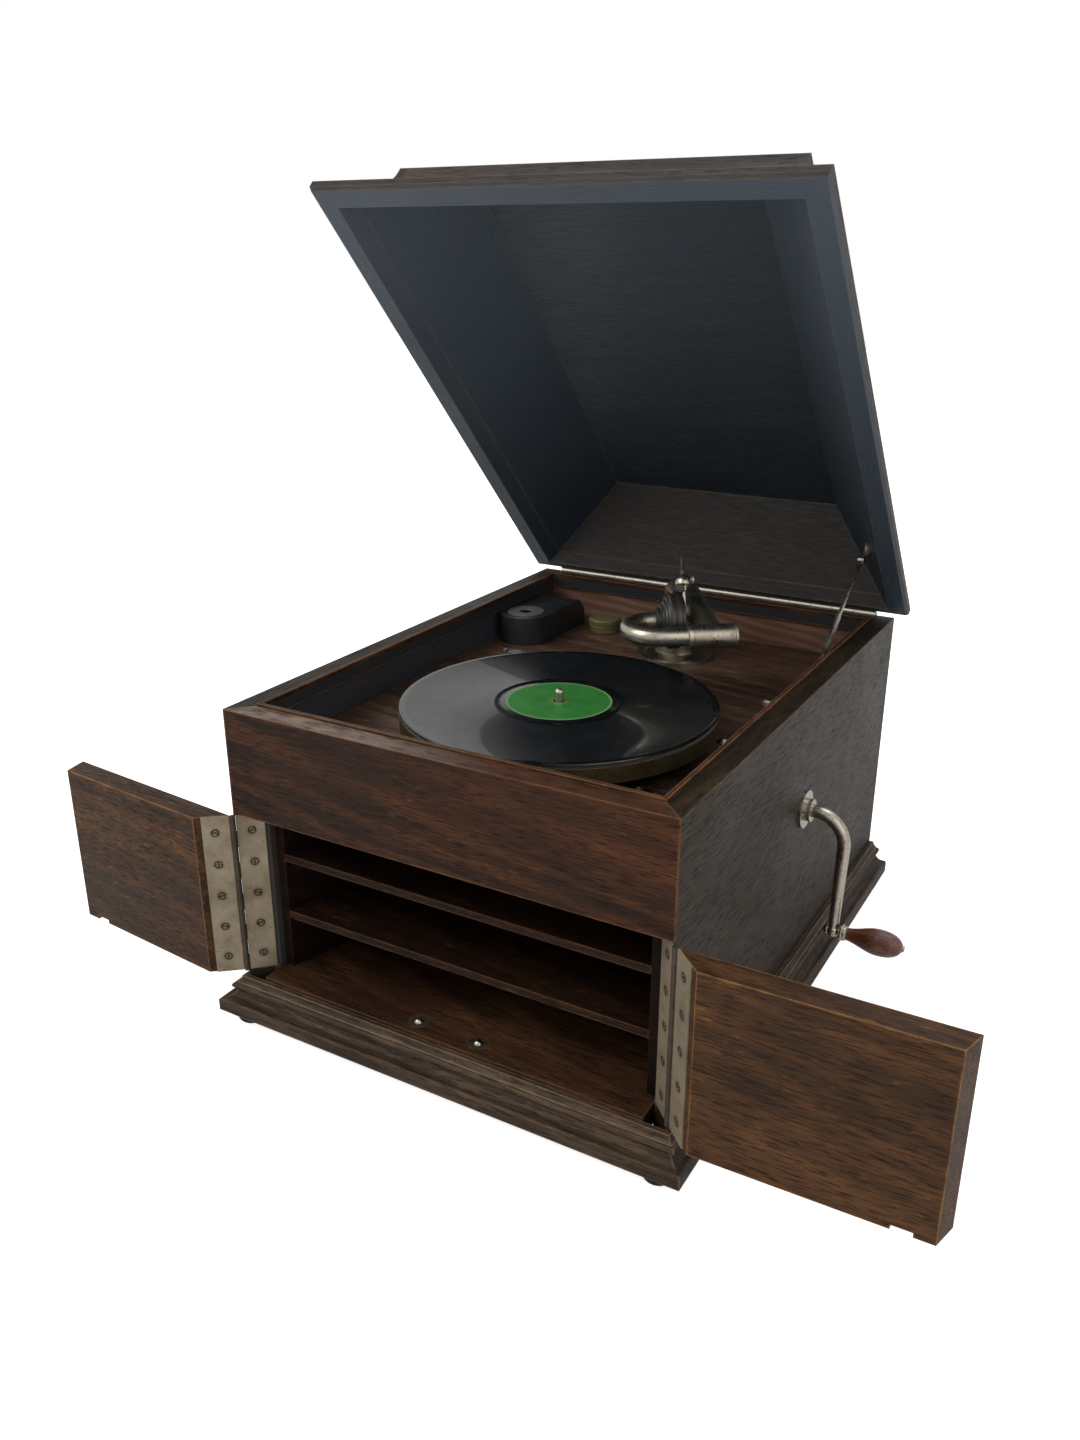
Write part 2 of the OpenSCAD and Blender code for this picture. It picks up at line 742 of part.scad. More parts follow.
// The inside space of the lid
module lid_hollow() {
    x0 = lid_half_w - lid_lip;
    x1 = lid_half_w - lid_lip - slope_in_side;
    f0 = -lid_len + lid_lip;
    f1 = -lid_len + lid_lip + slope_in_front;
    b0 = -lid_leaf_w - 0.3;
    b1 = b0 - slope_in_rear;
    low = -1;
    intersection() {
        prism_y(-lid_len - 5, 5, [[-x0, low], [x0, low], [x0, lid_gap], [x1, ceiling_n], [-x1, ceiling_n], [-x0, lid_gap]]);
        prism_x(-lid_half_w - 5, lid_half_w + 5,
            [[f0, low], [b0, low], [b0, lid_gap], [b1, ceiling_n], [f1, ceiling_n], [f0, lid_gap]]);
    }
}

// A four-sided moulded block: its inset is smaller at the back by the last value
module lid_block(z0, z1, inset0, inset1, less = 0) {
    intersection() {
        prism_y(-lid_len - 5, 5,
            [[-lid_half_w + inset0, z0], [lid_half_w - inset0, z0], [lid_half_w - inset1, z1], [-lid_half_w + inset1, z1]]);
        prism_x(-lid_half_w - 5, lid_half_w + 5,
            [[-lid_len + inset0, z0], [less - lid_back - inset0, z0], [less - lid_back - inset1, z1],
            [-lid_len + inset1, z1]]);
    }
}

module lid_rim() {
    color(dark_oak) lid_place() difference() {
        union() {
            lid_block(lid_gap, lid_gap + 3, 2, 0);
            lid_block(lid_gap + 3, lid_rim_t - 3, 0, 0);
            lid_block(lid_rim_t - 3, lid_rim_t, 3, 5);
        }
        lid_hollow();
        lid_leaf_bed_lid();
        lid_mitres();
    }
}

// Thin saw cuts along the four mitres of the lid's frame, the back ones moved out by the given value
module lid_mitres(out = 0) {
    cut = 0.06;
    reach = lid_lip + slope_in_side + 40;
    for (side = [-1, 1], corner = [[out - lid_back, 225], [-lid_len, 135]])
        scale([side, 1, 1]) translate([lid_half_w, corner[0], 0]) rotate([0, 0, corner[1]])
            translate([-5, -cut / 2, -5]) cube([reach * sqrt(2), cut, lid_h + 10]);
}

// The coved rails: the cove, the upright edge above it and the lower part of the raised slope
module lid_cove() {
    edge_top = lid_cove_top + panel_edge_h;
    color(dark_oak) lid_place() difference() {
        union() {
            intersection() {
                translate([0, 5, 0]) rotate([90, 0, 0]) linear_extrude(lid_len + 10) difference() {
                    translate([-lid_half_w + 6, lid_rim_t]) square([2 * (lid_half_w - 6), lid_cove_top - lid_rim_t]);
                    for (side = [-1, 1]) scale([side, 1]) translate([-lid_half_w, 0]) cove_outline();
                }
                translate([-lid_half_w - 5, 0, 0]) rotate([90, 0, 90]) linear_extrude(2 * lid_half_w + 10) difference() {
                    translate([-lid_len + 6, lid_rim_t])
                        square([lid_len - lid_back - 12, lid_cove_top - lid_rim_t]);
                    translate([-lid_len, 0]) cove_outline();
                    translate([rear_less - lid_back, 0]) scale([-1, 1]) cove_outline();
                }
            }
            lid_block(lid_cove_top - eps, edge_top, panel_inset, panel_inset, rear_less);
            lid_block(edge_top - eps, ceiling_n, panel_inset, slope_inset(ceiling_n), rear_less);
        }
        lid_hollow();
        lid_mitres(rear_less);
    }
}

// Inset of the raised slope at a height above its upright edge
function slope_inset(height) = panel_inset + (field_inset - panel_inset)
    * (height - lid_cove_top - panel_edge_h) / (lid_h - lid_cove_top - panel_edge_h);

// What the cove takes away from a square edge, measured from the lid's edge
module cove_outline() {
    foot_in = 10;
    foot_z = lid_rim_t + 4;
    top_in = panel_inset - 5;
    top_z = lid_cove_top - 4;
    run = top_in - foot_in;
    rise = top_z - foot_z;
    radius = (run * run + rise * rise) / (2 * run);
    translate([-1, foot_z]) square([foot_in + 1, lid_h]);
    difference() {
        translate([foot_in - 1, foot_z]) square([run + 1, rise]);
        translate([foot_in - 2, foot_z - 1]) square([run + 3, 1]);
        cove_fill(foot_in, foot_z, top_in, top_z, radius);
    }
    translate([-1, top_z]) square([top_in + 1, lid_h]);
}

// The wood that stays under the cove's curve
module cove_fill(foot_in, foot_z, top_in, top_z, radius) {
    difference() {
        translate([foot_in, foot_z]) square([top_in - foot_in + 1, top_z - foot_z]);
        translate([top_in - radius, top_z]) circle(r = radius, $fn = 128);
    }
}

module lid_panel() {
    color(oak) lid_place() lid_block(ceiling_n, lid_h, slope_inset(ceiling_n), field_inset, rear_less);
}

// ---- lid hinge ----

// A lid hinge leaf in front of the axis, above it where sign is 1 and below it where sign is -1
module lid_leaf_shape(first, sign) {
    y0 = sign > 0 ? leaf_gap : -leaf_gap - lid_leaf_t;
    translate([lid_hinge_len / 2, 0, 0]) rotate([90, 0, -90])
        hinge_leaf(lid_hinge_len, lid_leaf_w, lid_leaf_t, y0, lid_knuckle_r, lid_knuckles, first);
}

// Room for the cabinet's leaf in the top of the back panel
module lid_leaf_bed() {
    translate([0, lid_axis_y, rim_h]) {
        translate([-lid_hinge_len / 2, -lid_leaf_w - face_gap, -leaf_gap - lid_leaf_t - face_gap])
            cube([lid_hinge_len, lid_leaf_w + 1, 5]);
        translate([-lid_hinge_len / 2 - 1, 0, 0]) rotate([0, 90, 0])
            cylinder(h = lid_hinge_len + 2, r = lid_knuckle_r + relief_gap);
    }
}

// Room for the lid's leaf in the lid's rim, in the lid's own place
module lid_leaf_bed_lid() {
    translate([-lid_hinge_len / 2 - face_gap, -lid_leaf_w - face_gap, -1])
        cube([lid_hinge_len + 2 * face_gap, lid_leaf_w + 1, 1 + leaf_gap + lid_leaf_t + face_gap]);
    translate([-lid_half_w - 1, 0, 0]) rotate([0, 90, 0])
        cylinder(h = 2 * lid_half_w + 2, r = lid_knuckle_r + relief_gap);
}

module lid_leaf_cabinet() { color(nickel) translate([0, lid_axis_y, rim_h]) lid_leaf_shape(0, -1); }

module lid_leaf() { color(nickel) lid_place() lid_leaf_shape(1, 1); }

module lid_hinge_pin() {
    color(nickel) translate([-lid_hinge_len / 2 + 0.2, lid_axis_y, rim_h]) rotate([0, 90, 0])
        cylinder(h = lid_hinge_len - 0.4, r = hinge_pin_r, $fn = 32);
}

// ---- lid stay ----
stay_t = 2.4;
stay_w = 8;
lug_t = 2;
lug_r = stay_n - bead_proud - fit_gap;
slope_tan = slope_in_side / (ceiling_n - lid_gap);

// A small plate screwed on the lid's right slope, with a lug and a pin for the stay
module stay_bracket() {
    foot_x = lid_half_w - lid_lip - slope_tan * (stay_n + 12) - 0.6;
    color(nickel) lid_place() difference() {
        union() {
            translate([stay_x + stay_t / 2 + 0.3, -stay_s, stay_n]) rotate([0, 90, 0]) cylinder(h = lug_t, r = lug_r);
            translate([stay_x + stay_t / 2 + 0.3, -stay_s - lug_r, stay_n]) cube([lug_t, 2 * lug_r, 14]);
            translate([stay_x + stay_t / 2 + 0.3, -stay_s - 8, stay_n + 10])
                cube([foot_x - stay_x + 6, 16, 4]);
            translate([stay_x - stay_t / 2 - 1.5, -stay_s, stay_n]) rotate([0, 90, 0]) cylinder(h = stay_t + 3, r = 2);
        }
        lid_slope_side();
    }
}

// The wood of the lid's right slope
module lid_slope_side() {
    x0 = lid_half_w - lid_lip;
    x1 = x0 - slope_in_side;
    translate([0, 5, 0]) rotate([90, 0, 0]) linear_extrude(lid_len + 10)
        polygon([[x0, lid_gap], [x1, ceiling_n], [x1 + 200, ceiling_n]]);
}

stay_fit = 0.1;
stay_pivot_r = norm([stay_s, stay_n]);
stay_pivot_a = atan2(stay_n, stay_s) + lid_open;
stay_pivot_y = lid_axis_y - stay_pivot_r * cos(stay_pivot_a);
stay_pivot_z = rim_h + stay_pivot_r * sin(stay_pivot_a);
stay_drop = asin((stay_pivot_z - stay_slot_z) / stay_len);
stay_closed_z = rim_h + stay_n;
stay_closed_y = lid_axis_y - stay_s;
stay_drop_closed = asin((stay_closed_z - stay_slot_z) / stay_len);
slot_y_open = stay_pivot_y - stay_len * cos(stay_drop);
slot_y_closed = stay_closed_y - stay_len * cos(stay_drop_closed);

// The stay: a slim bar that swings on the lid's pin and runs with its own pin in the guide
module lid_stay() {
    color(nickel) translate([stay_x, stay_pivot_y, stay_pivot_z]) rotate([stay_drop, 0, 0]) difference() {
        union() {
            for (end = [0, -stay_len]) translate([-stay_t / 2, end, 0]) rotate([0, 90, 0]) cylinder(h = stay_t, r = stay_w / 2);
            translate([-stay_t / 2, -stay_len, -stay_w / 2]) cube([stay_t, stay_len * 0.55, stay_w]);
            translate([-stay_t / 2, -stay_len * 0.5, -stay_w * 0.3]) cube([stay_t, stay_len * 0.5, stay_w * 0.6]);
            translate([0, -stay_len, 0]) rotate([0, 90, 0]) cylinder(h = 4.6, r = stay_pin_r, $fn = 32);
        }
        translate([-stay_t, 0, 0]) rotate([0, 90, 0]) cylinder(h = 2 * stay_t, r = 2 + stay_fit);
    }
}

// The slotted guide on the right wall in which the stay's pin runs
module stay_guide() {
    half_h = stay_pin_r + slot_play;
    y0 = min(slot_y_open, slot_y_closed) - stay_pin_r - 2;
    y1 = max(slot_y_open, slot_y_closed) + stay_pin_r + 2;
    x0 = stay_x + stay_t / 2 + 0.8;
    color(nickel) difference() {
        board(x0, inner_x, y0 - 8, y1 + 8, stay_slot_z - half_h - 2.5, min(stay_slot_z + half_h + 2.5, rim_h - bead_depth));
        board(x0 - 1, inner_x - 0.8, y0, y1, stay_slot_z - half_h, stay_slot_z + half_h);
    }
}

// ---- crank ----
module on_escutcheon() {
    translate([half_w, crank_y, crank_z]) rotate([0, 90, 0])
        for (a = [30, 150, 270]) rotate([0, 0, a]) translate([12.6, 0, 2]) children();
}

module crank_escutcheon() {
    color(nickel) on_escutcheon() countersunk_screw(1.75, 9);
    color(nickel) difference() {
        translate([half_w, crank_y, crank_z]) rotate([0, 90, 0]) difference() {
            union() {
                cylinder(h = 2, r = 16);
                cylinder(h = 7, r = 9.5);
                translate([0, 0, -wall_t]) cylinder(h = wall_t + 1, r = 7.8);
            }
            translate([0, 0, -wall_t - 1]) cylinder(h = wall_t + 10, r = rod_r + 0.08);
        }
        on_escutcheon() screw_seat(1.75, 9);
    }
}

bevel_small_r = 11;
bevel_big_r = 22;
winding_z = crank_z + bevel_small_r + 0.5;

module crank_rod() {
    inner_end = barrel_x + bevel_big_r + 1;
    color(nickel) translate([0, crank_y, crank_z]) rotate([-crank_lean, 0, 0]) {
        translate([inner_end, 0, 0]) rotate([0, 90, 0]) cylinder(h = half_w + crank_out - rod_bend_r - inner_end, r = rod_r);
        translate([half_w + crank_out - rod_bend_r, 0, -rod_bend_r]) rotate([90, 0, 0])
            rotate_extrude(angle = 90) translate([rod_bend_r, 0]) circle(r = rod_r);
        translate([half_w + crank_out, 0, -crank_arm]) cylinder(h = crank_arm - rod_bend_r + eps, r1 = rod_r * 0.8, r2 = rod_r);
        translate([half_w + crank_out, 0, -crank_arm]) sphere(r = rod_r);
        translate([half_w + crank_out - 4.5, 0, -crank_arm]) sphere(r = 4);
        translate([half_w + crank_out, 0, -crank_arm]) rotate([0, 90, 0]) cylinder(h = grip_len + 6.6, r = 2.6);
        translate([inner_end, 0, 0]) bevel_pinion();
    }
}

// The bevel pinion on the inner end of the winding shaft
module bevel_pinion() {
    teeth = 16;
    rotate([0, 90, 0]) difference() {
        translate([0, 0, -8]) cylinder(h = 9, r1 = bevel_small_r * 0.62, r2 = bevel_small_r);
        for (i = [0 : teeth - 1]) rotate([0, 0, i * 360 / teeth])
            translate([bevel_small_r * 0.78, -0.8, -9]) cube([4, 1.6, 12]);
    }
}

module crank_grip() {
    color("#5a2f1c") translate([half_w + crank_out, crank_y, crank_z]) rotate([-crank_lean, 0, 0])
        translate([6, 0, -crank_arm]) rotate([0, 90, 0]) difference() {
            rotate_extrude() grip_outline();
            translate([0, 0, -1]) cylinder(h = grip_len * 2, r = 2.7);
        }
}

// Radius of the pear-shaped grip at a part of its length
function grip_at(t) = t < 0.6 ? 5 + (grip_r - 5) * (0.5 - 0.5 * cos(300 * t))
    : grip_r * pow(1 - pow((t - 0.6) / 0.4, 2.4), 0.5);

// Half outline of the grip, with its ferrule
module grip_outline() {
    square([7, 5]);
    polygon([[0, 0], for (i = [0 : 40]) [grip_at(i / 40), 3 + (grip_len - 3) * i / 40]]);
}

// ---- deck pieces ----
bin_r = 26.3;
bin_x = -(inner_x - bin_r - 0.2);
bin_y = inner_y - 103;
bin_h = rim_h - bead_depth + bead_proud - deck_z - fit_gap;
bin_back = bin_y + 76;

// The block for used needles, just under the rim bead, with its deep round well
module needle_box() {
    color(black) difference() {
        union() {
            translate([bin_x, bin_y, deck_z]) cylinder(h = bin_h, r = bin_r);
            board(bin_x - bin_r, bin_x + bin_r, bin_y, bin_back - 12, deck_z, deck_z + bin_h);
            prism_x(bin_x - bin_r, bin_x + bin_r,
                [[bin_back - 13, deck_z], [bin_back, deck_z], [bin_back, deck_z + bin_h - 12],
                 [bin_back - 12, deck_z + bin_h], [bin_back - 13, deck_z + bin_h]]);
        }
        translate([bin_x, bin_y, deck_z + 4]) cylinder(h = bin_h, r = 15);
        translate([bin_x, bin_y, deck_z + bin_h - 1]) cylinder(h = 2, r = 18.2);
    }
}

module needle_box_ring() {
    color("gray") translate([bin_x, bin_y, deck_z + bin_h - 1 + face_gap]) difference() {
        cylinder(h = 1.6, r = 18);
        translate([0, 0, -1]) cylinder(h = 4, r = 6.3);
    }
}

tin_x = bin_x + 57;
tin_y = inner_y - 40;
tin_r = 16.5;
tin_h = 15;

module needle_tin() {
    color("#7d7a4e") translate([tin_x, tin_y, deck_z]) difference() {
        cylinder(h = tin_h, r = tin_r);
        for (z = [3.5, tin_h - 5]) translate([0, 0, z]) difference() {
            cylinder(h = 1, r = tin_r + 1);
            translate([0, 0, -1]) cylinder(h = 3, r = tin_r - 0.8);
        }
    }
}

module motor_bolts() {
    color(nickel) for (x = bolt_x, y = bolt_y) translate([x, y, 0]) {
        difference() {
            union() {
                translate([0, 0, deck_z]) cylinder(h = 1.6, r1 = 6.5, r2 = 4.6, $fn = 48);
                translate([0, 0, deck_z + 1.5]) cylinder(h = 1.6, r1 = 4.2, r2 = 3, $fn = 48);
                translate([0, 0, motor_top_z - plate_t - 5]) cylinder(h = deck_z - motor_top_z + plate_t + 6, r = bolt_r, $fn = 32);
                translate([0, 0, motor_top_z - plate_t - 4]) cylinder(h = 4, r = 4.6, $fn = 6);
            }
            translate([-5, -0.6, deck_z + 2.2]) cube([10, 1.2, 2]);
        }
        translate([0, 0, motor_top_z]) difference() {
            cylinder(h = deck_z - deck_t - motor_top_z, r = 6, $fn = 48);
            translate([0, 0, -1]) cylinder(h = 9, r = bolt_r + eps * 5, $fn = 32);
        }
    }
}

speed_x = table_x + 99;
speed_y = table_y - 60;

module speed_plate() {
    color(dark_nickel) difference() {
        board(speed_x - 6, speed_x + 22, speed_y - 6, speed_y + 6, deck_z, deck_z + 1);
        translate([speed_x, speed_y, deck_z - 1]) cylinder(h = 3, r = 2.6, $fn = 32);
    }
    color(nickel) translate([speed_x + 14, speed_y, deck_z + 1]) cylinder(h = 1.2, r1 = 2.6, r2 = 1.8, $fn = 32);
}

module speed_lever() {
    color(nickel) {
        translate([speed_x, speed_y, deck_z - deck_t - 3]) cylinder(h = deck_t + 7, r = 2.5, $fn = 32);
        translate([speed_x, speed_y, deck_z + 1.3]) cylinder(h = 2.2, r = 4.4, $fn = 32);
        translate([speed_x, speed_y, deck_z + 1.3]) rotate([0, 0, 160]) translate([0, -1.8, 0]) cube([16, 3.6, 1.6]);
        translate([speed_x, speed_y, deck_z + 1.3]) rotate([0, 0, 160]) translate([16, 0, 0]) cylinder(h = 5.5, r = 2.6, $fn = 32);
    }
}

brake_x = table_x - 109;
brake_y = table_y + 117;
brake_z = platter_z + 4;
brake_reach = platter_r + 7.2;

// The brake lever: a bar with a finger tab and a pad that stands clear of the platter's rim
module brake_lever() {
    pad = [table_x - 0.5002 * brake_reach - brake_x, table_y + 0.8659 * brake_reach - brake_y];
    pad_turn = atan2(pad[1], pad[0]);
    color(nickel) translate([brake_x, brake_y, 0]) {
        translate([0, 0, deck_z - deck_t]) cylinder(h = brake_z - deck_z + deck_t, r = 2, $fn = 32);
        translate([0, 0, deck_z + 0.3]) cylinder(h = brake_z - deck_z + 3, r = 5, $fn = 32);
        rotate([0, 0, pad_turn]) translate([0, -3.5, brake_z]) cube([norm(pad) - 1, 7, 2.4]);
        rotate([0, 0, 191]) translate([0, -3.5, brake_z]) cube([13, 7, 2.4]);
        rotate([0, 0, 191]) translate([10, -3.5, brake_z]) cube([3, 7, 4]);
        translate([pad[0], pad[1], brake_z - 1.5]) cylinder(h = 9, r = 4, $fn = 32);
    }
}

// ---- turntable ----
module turntable_spindle() {
    color(nickel) translate([table_x, table_y, 0]) {
        translate([0, 0, motor_low_z - 3]) cylinder(h = platter_z + 6 - motor_low_z + 3, r = spindle_r);
        translate([0, 0, platter_z + 5]) cylinder(h = record_z - platter_z - 5, r1 = 5, r2 = tip_r);
        translate([0, 0, record_z - 1]) cylinder(h = spindle_top - record_z, r = tip_r);
        translate([0, 0, spindle_top - 1]) sphere(r = tip_r);
        translate([0, 0, wheel_z - 1]) rotate([0, 0, drive_turn]) linear_extrude(wheel_t + 2)
            gear_outline(pinion_teeth, wheel_module);
        translate([0, 0, governor_z - 4]) difference() {
            cylinder(h = 8, r = worm_wheel_r);
            for (i = [0 : 39]) rotate([0, 0, i * 9]) translate([worm_wheel_r - 1.3, -0.5, -1]) cube([3, 1, 10]);
        }
    }
}

module platter() {
    color(nickel) translate([table_x, table_y, platter_z]) difference() {
        union() {
            difference() {
                cylinder(h = platter_h, r = platter_r, $fn = 180);
                translate([0, 0, -1]) cylinder(h = platter_h - 2, r = platter_r - 3, $fn = 180);
            }
            translate([0, 0, 5.5]) cylinder(h = platter_h - 6, r = 14);
        }
        translate([0, 0, 5]) cylinder(h = platter_h - 5 + mat_t, r1 = 5 + 0.02, r2 = tip_r + 0.04);
        translate([0, 0, -1]) cylinder(h = 7, r = spindle_r + 1.2);
    }
}

// The cloth mat glued on the platter
module platter_mat() {
    color("#3d3a34") translate([table_x, table_y, record_z - mat_t]) difference() {
        cylinder(h = mat_t, r = platter_r - 1, $fn = 180);
        translate([0, 0, -1]) cylinder(h = mat_t + 2, r = 5.2);
    }
}

module record() {
    color("#141418") translate([table_x, table_y, record_z]) difference() {
        cylinder(h = record_t, r = platter_r, $fn = 180);
        translate([0, 0, -1]) cylinder(h = record_t + 2, r = tip_r + 0.1);
    }
}

// ---- tonearm ----
base_r = 36;
tube_wall = 2;
arm_bend_r = 22;
riser_z = deck_z + 17;

module tonearm_base() {
    color(nickel) translate([arm_x, arm_y, deck_z]) difference() {
        union() {
            cylinder(h = 3.5, r = base_r);
            translate([0, 0, 3]) cylinder(h = 4, r1 = base_r - 4, r2 = arm_root_r + 8);
            cylinder(h = 16, r = arm_root_r + 6);
        }
        translate([0, 0, -1]) cylinder(h = 20, r = arm_root_r + 0.3);
        for (a = [-60, 60, 180]) rotate([0, 0, a]) translate([base_r - 5, 0, 3.5]) screw_seat(2.6, 3);
    }
    color(dark_nickel) translate([arm_x, arm_y, deck_z + 3.5]) for (a = [-60, 60, 180])
        rotate([0, 0, a]) translate([base_r - 5, 0, 0]) countersunk_screw(2.55, 2.9);
}

// Puts pieces in the arm's own frame: X across to the right, Y forward along the arm, Z up, at the pivot
module arm_frame() {
    translate([arm_x, arm_y, 0]) rotate([0, 0, arm_turn]) children();
}

// The swinging arm: riser, elbow, tapered tube and cross head
module tonearm_tube() {
    color(nickel) arm_frame() difference() {
        union() {
            translate([0, 0, deck_z + 2]) cylinder(h = head_z - arm_bend_r - deck_z - 2 + eps, r = arm_root_r);
            translate([0, 0, deck_z + 16.4]) cylinder(h = 5, r = arm_root_r + 3);
            translate([0, -arm_bend_r, head_z - arm_bend_r]) rotate([90, 0, 90])
                rotate_extrude(angle = 90) translate([arm_bend_r, 0]) circle(r = arm_root_r);
            translate([0, -arm_bend_r + eps, head_z]) rotate([90, 0, 0])
                cylinder(h = arm_len - arm_bend_r, r1 = arm_root_r, r2 = arm_tip_r);
            translate([-head_half, -arm_len, head_z]) rotate([0, 90, 0]) cylinder(h = 2 * head_half, r = head_r);
            translate([head_half - 2, -arm_len, head_z]) rotate([0, 90, 0]) cylinder(h = 2, r = head_r + 0.8);
        }
        translate([0, 0, deck_z + 1]) cylinder(h = head_z - arm_bend_r - deck_z - 1 + eps, r = arm_root_r - tube_wall);
        translate([0, -arm_bend_r, head_z - arm_bend_r]) rotate([90, 0, 90])
            rotate_extrude(angle = 90) translate([arm_bend_r, 0]) circle(r = arm_root_r - tube_wall);
        translate([0, -arm_bend_r + eps, head_z]) rotate([90, 0, 0])
            cylinder(h = arm_len - arm_bend_r, r1 = arm_root_r - tube_wall, r2 = neck_r - 2);
        translate([-head_half - 1, -arm_len, head_z]) rotate([0, 90, 0]) cylinder(h = head_half * 2 - 2, r = neck_r - 0.75);
    }
}

// Puts pieces in the gooseneck's frame: the cross head's axis is X, Y runs back towards the pivot
module neck_frame() {
    arm_frame() translate([0, -arm_len, head_z]) children();
}

neck_plug = 14;
neck_out = 25.5;
box_back = -38;
box_front = -18;

// The throw-back gooseneck, a tube bent back on itself
module gooseneck() {
    plug_r = neck_r - 0.8;
    color(nickel) neck_frame() {
        translate([-head_half - 0.3, 0, 0]) rotate([0, 90, 0]) cylinder(h = neck_plug, r = plug_r);
        translate([-head_half - 3.3, 0, 0]) rotate([0, 90, 0]) cylinder(h = 3, r = head_r + 0.7);
        translate([-head_half - neck_out, 0, 0]) rotate([0, 90, 0]) cylinder(h = neck_out - 1, r = neck_r);
        translate([-head_half - neck_out, bend_r, 0]) rotate([0, 0, 90])
            rotate_extrude(angle = 180) translate([bend_r, 0]) circle(r = neck_r);
        translate([-head_half - neck_out - eps, 2 * bend_r, 0]) rotate([0, 90, 0]) cylinder(h = box_back + head_half + neck_out - 3, r = neck_r);
    }
}

// The sound box: a back shell, a rim ring and a domed front round the diaphragm
module sound_box() {
    color(dark_nickel) neck_frame() translate([0, 2 * bend_r, 0]) rotate([0, 90, 0]) {
        difference() {
            union() {
                translate([0, 0, box_back - 3]) cylinder(h = 4, r = neck_r + 4);
                translate([0, 0, box_back]) cylinder(h = 5, r1 = box_r * 0.6, r2 = box_r - 2);
                translate([0, 0, box_back + 5]) cylinder(h = 12, r = box_r);
                translate([0, 0, box_back + 17]) cylinder(h = 3, r = box_r - 1.5);
            }
            translate([0, 0, box_front - 4]) cylinder(h = 6, r = box_r - 6);
        }
    }
}

needle_r = 0.8;
bar_x = box_front + 3;

// The needle bar on the sound box's face, its pivot block, clamp, thumb screw and needle
module needle() {
    color(nickel) neck_frame() translate([0, 2 * bend_r, 0]) rotate([needle_lift, 0, 0]) {
        translate([bar_x - 1.5, 2, -2]) cube([3, box_r + 8, 4]);
        translate([box_front - 3.9, 1, -2]) cube([bar_x - box_front + 4, 4, 4]);
        translate([box_front - 6, box_r + 0.1, -6.5]) cube([9, 6.8, 13]);
        translate([bar_x, box_r + 6, 0]) rotate([-90, 0, 0]) cylinder(h = 10, r1 = 4.6, r2 = 3.4);
        translate([bar_x, box_r + 12, 0]) rotate([0, 90, 0]) cylinder(h = 9, r = 1.8, $fn = 32);
        translate([bar_x + 6, box_r + 12, 0]) rotate([0, 90, 0]) cylinder(h = 4, r = 4);
        translate([bar_x, box_r + 14, 0]) rotate([-90, 0, 0])
            cylinder(h = needle_reach - box_r - 14 - 5, r = needle_r, $fn = 32);
        translate([bar_x, needle_reach - 5, 0]) rotate([-90, 0, 0]) cylinder(h = 5, r1 = needle_r, r2 = 0.15, $fn = 32);
    }
}

// ---- motor ----
wheel_z = deck_z - 52;
wheel_t = 4;
gear_z = deck_z - 28;
gear_t = 5;
mesh_table = atan2(mid_y - table_y, mid_x - table_x);
mesh_barrel = atan2(mid_y - barrel_y, mid_x - barrel_x);
drive_turn = mesh_table;

module plate_outline(pad) {
    reach = bolt_reach + 4 + pad;
    y0 = table_y - 41;
    y1 = bolt_y[1] + 11;
    translate([table_x - reach, y0]) square([2 * reach, y1 - y0]);
}

module motor_plate() {
    hanger_x = barrel_x + barrel_pitch + 6;
    color(dark_nickel) difference() {
        union() {
            translate([0, 0, motor_top_z - plate_t]) linear_extrude(plate_t) plate_outline(4);
            board(hanger_x, hanger_x + 6, crank_y - 9, crank_y + 9, crank_z - 10, motor_top_z - 1);
        }
        translate([hanger_x - 1, crank_y, crank_z]) rotate([0, 90, 0]) cylinder(h = 8, r = rod_r + 0.08);
        translate([table_x, table_y, 0]) cylinder(h = deck_z, r = spindle_r + 0.08);
        translate([barrel_x, barrel_y, 0]) cylinder(h = deck_z, r = 5.06);
        translate([mid_x, mid_y, 0]) cylinder(h = deck_z, r = 3.06);
        for (x = bolt_x, y = bolt_y) translate([x, y, 0]) cylinder(h = deck_z, r = bolt_r + 0.2);
    }
}

pillar_x = [table_x - 56, table_x + 56];
pillar_y = [table_y - 31, barrel_y + 62];

module motor_lower_plate() {
    color(dark_nickel) difference() {
        union() {
            translate([pillar_x[0] - 8, pillar_y[0] - 8, motor_low_z])
                cube([pillar_x[1] - pillar_x[0] + 16, pillar_y[1] - pillar_y[0] + 16, plate_t]);
            for (x = [governor_x0 - 1, governor_x1 - 4])
                board(x, x + 5, governor_y - 4, governor_y + 4, motor_low_z + plate_t - 1, governor_z + 5);
        }
        translate([governor_x0 - 5, governor_y, governor_z]) rotate([0, 90, 0])
            cylinder(h = governor_x1 - governor_x0 + 10, r = 2.06, $fn = 32);
        translate([table_x, table_y, 0]) cylinder(h = deck_z, r = spindle_r + 0.08);
        translate([mid_x, mid_y, 0]) cylinder(h = deck_z, r = 3.06);
        translate([barrel_x, barrel_y, 0]) cylinder(h = deck_z, r = 5.06);
    }
}

module motor_pillars() {
    color(nickel) for (x = pillar_x, y = pillar_y)
        translate([x, y, motor_low_z + plate_t]) cylinder(h = motor_top_z - 2 * plate_t - motor_low_z, r = 5);
}

barrel_z0 = deck_z - 44;

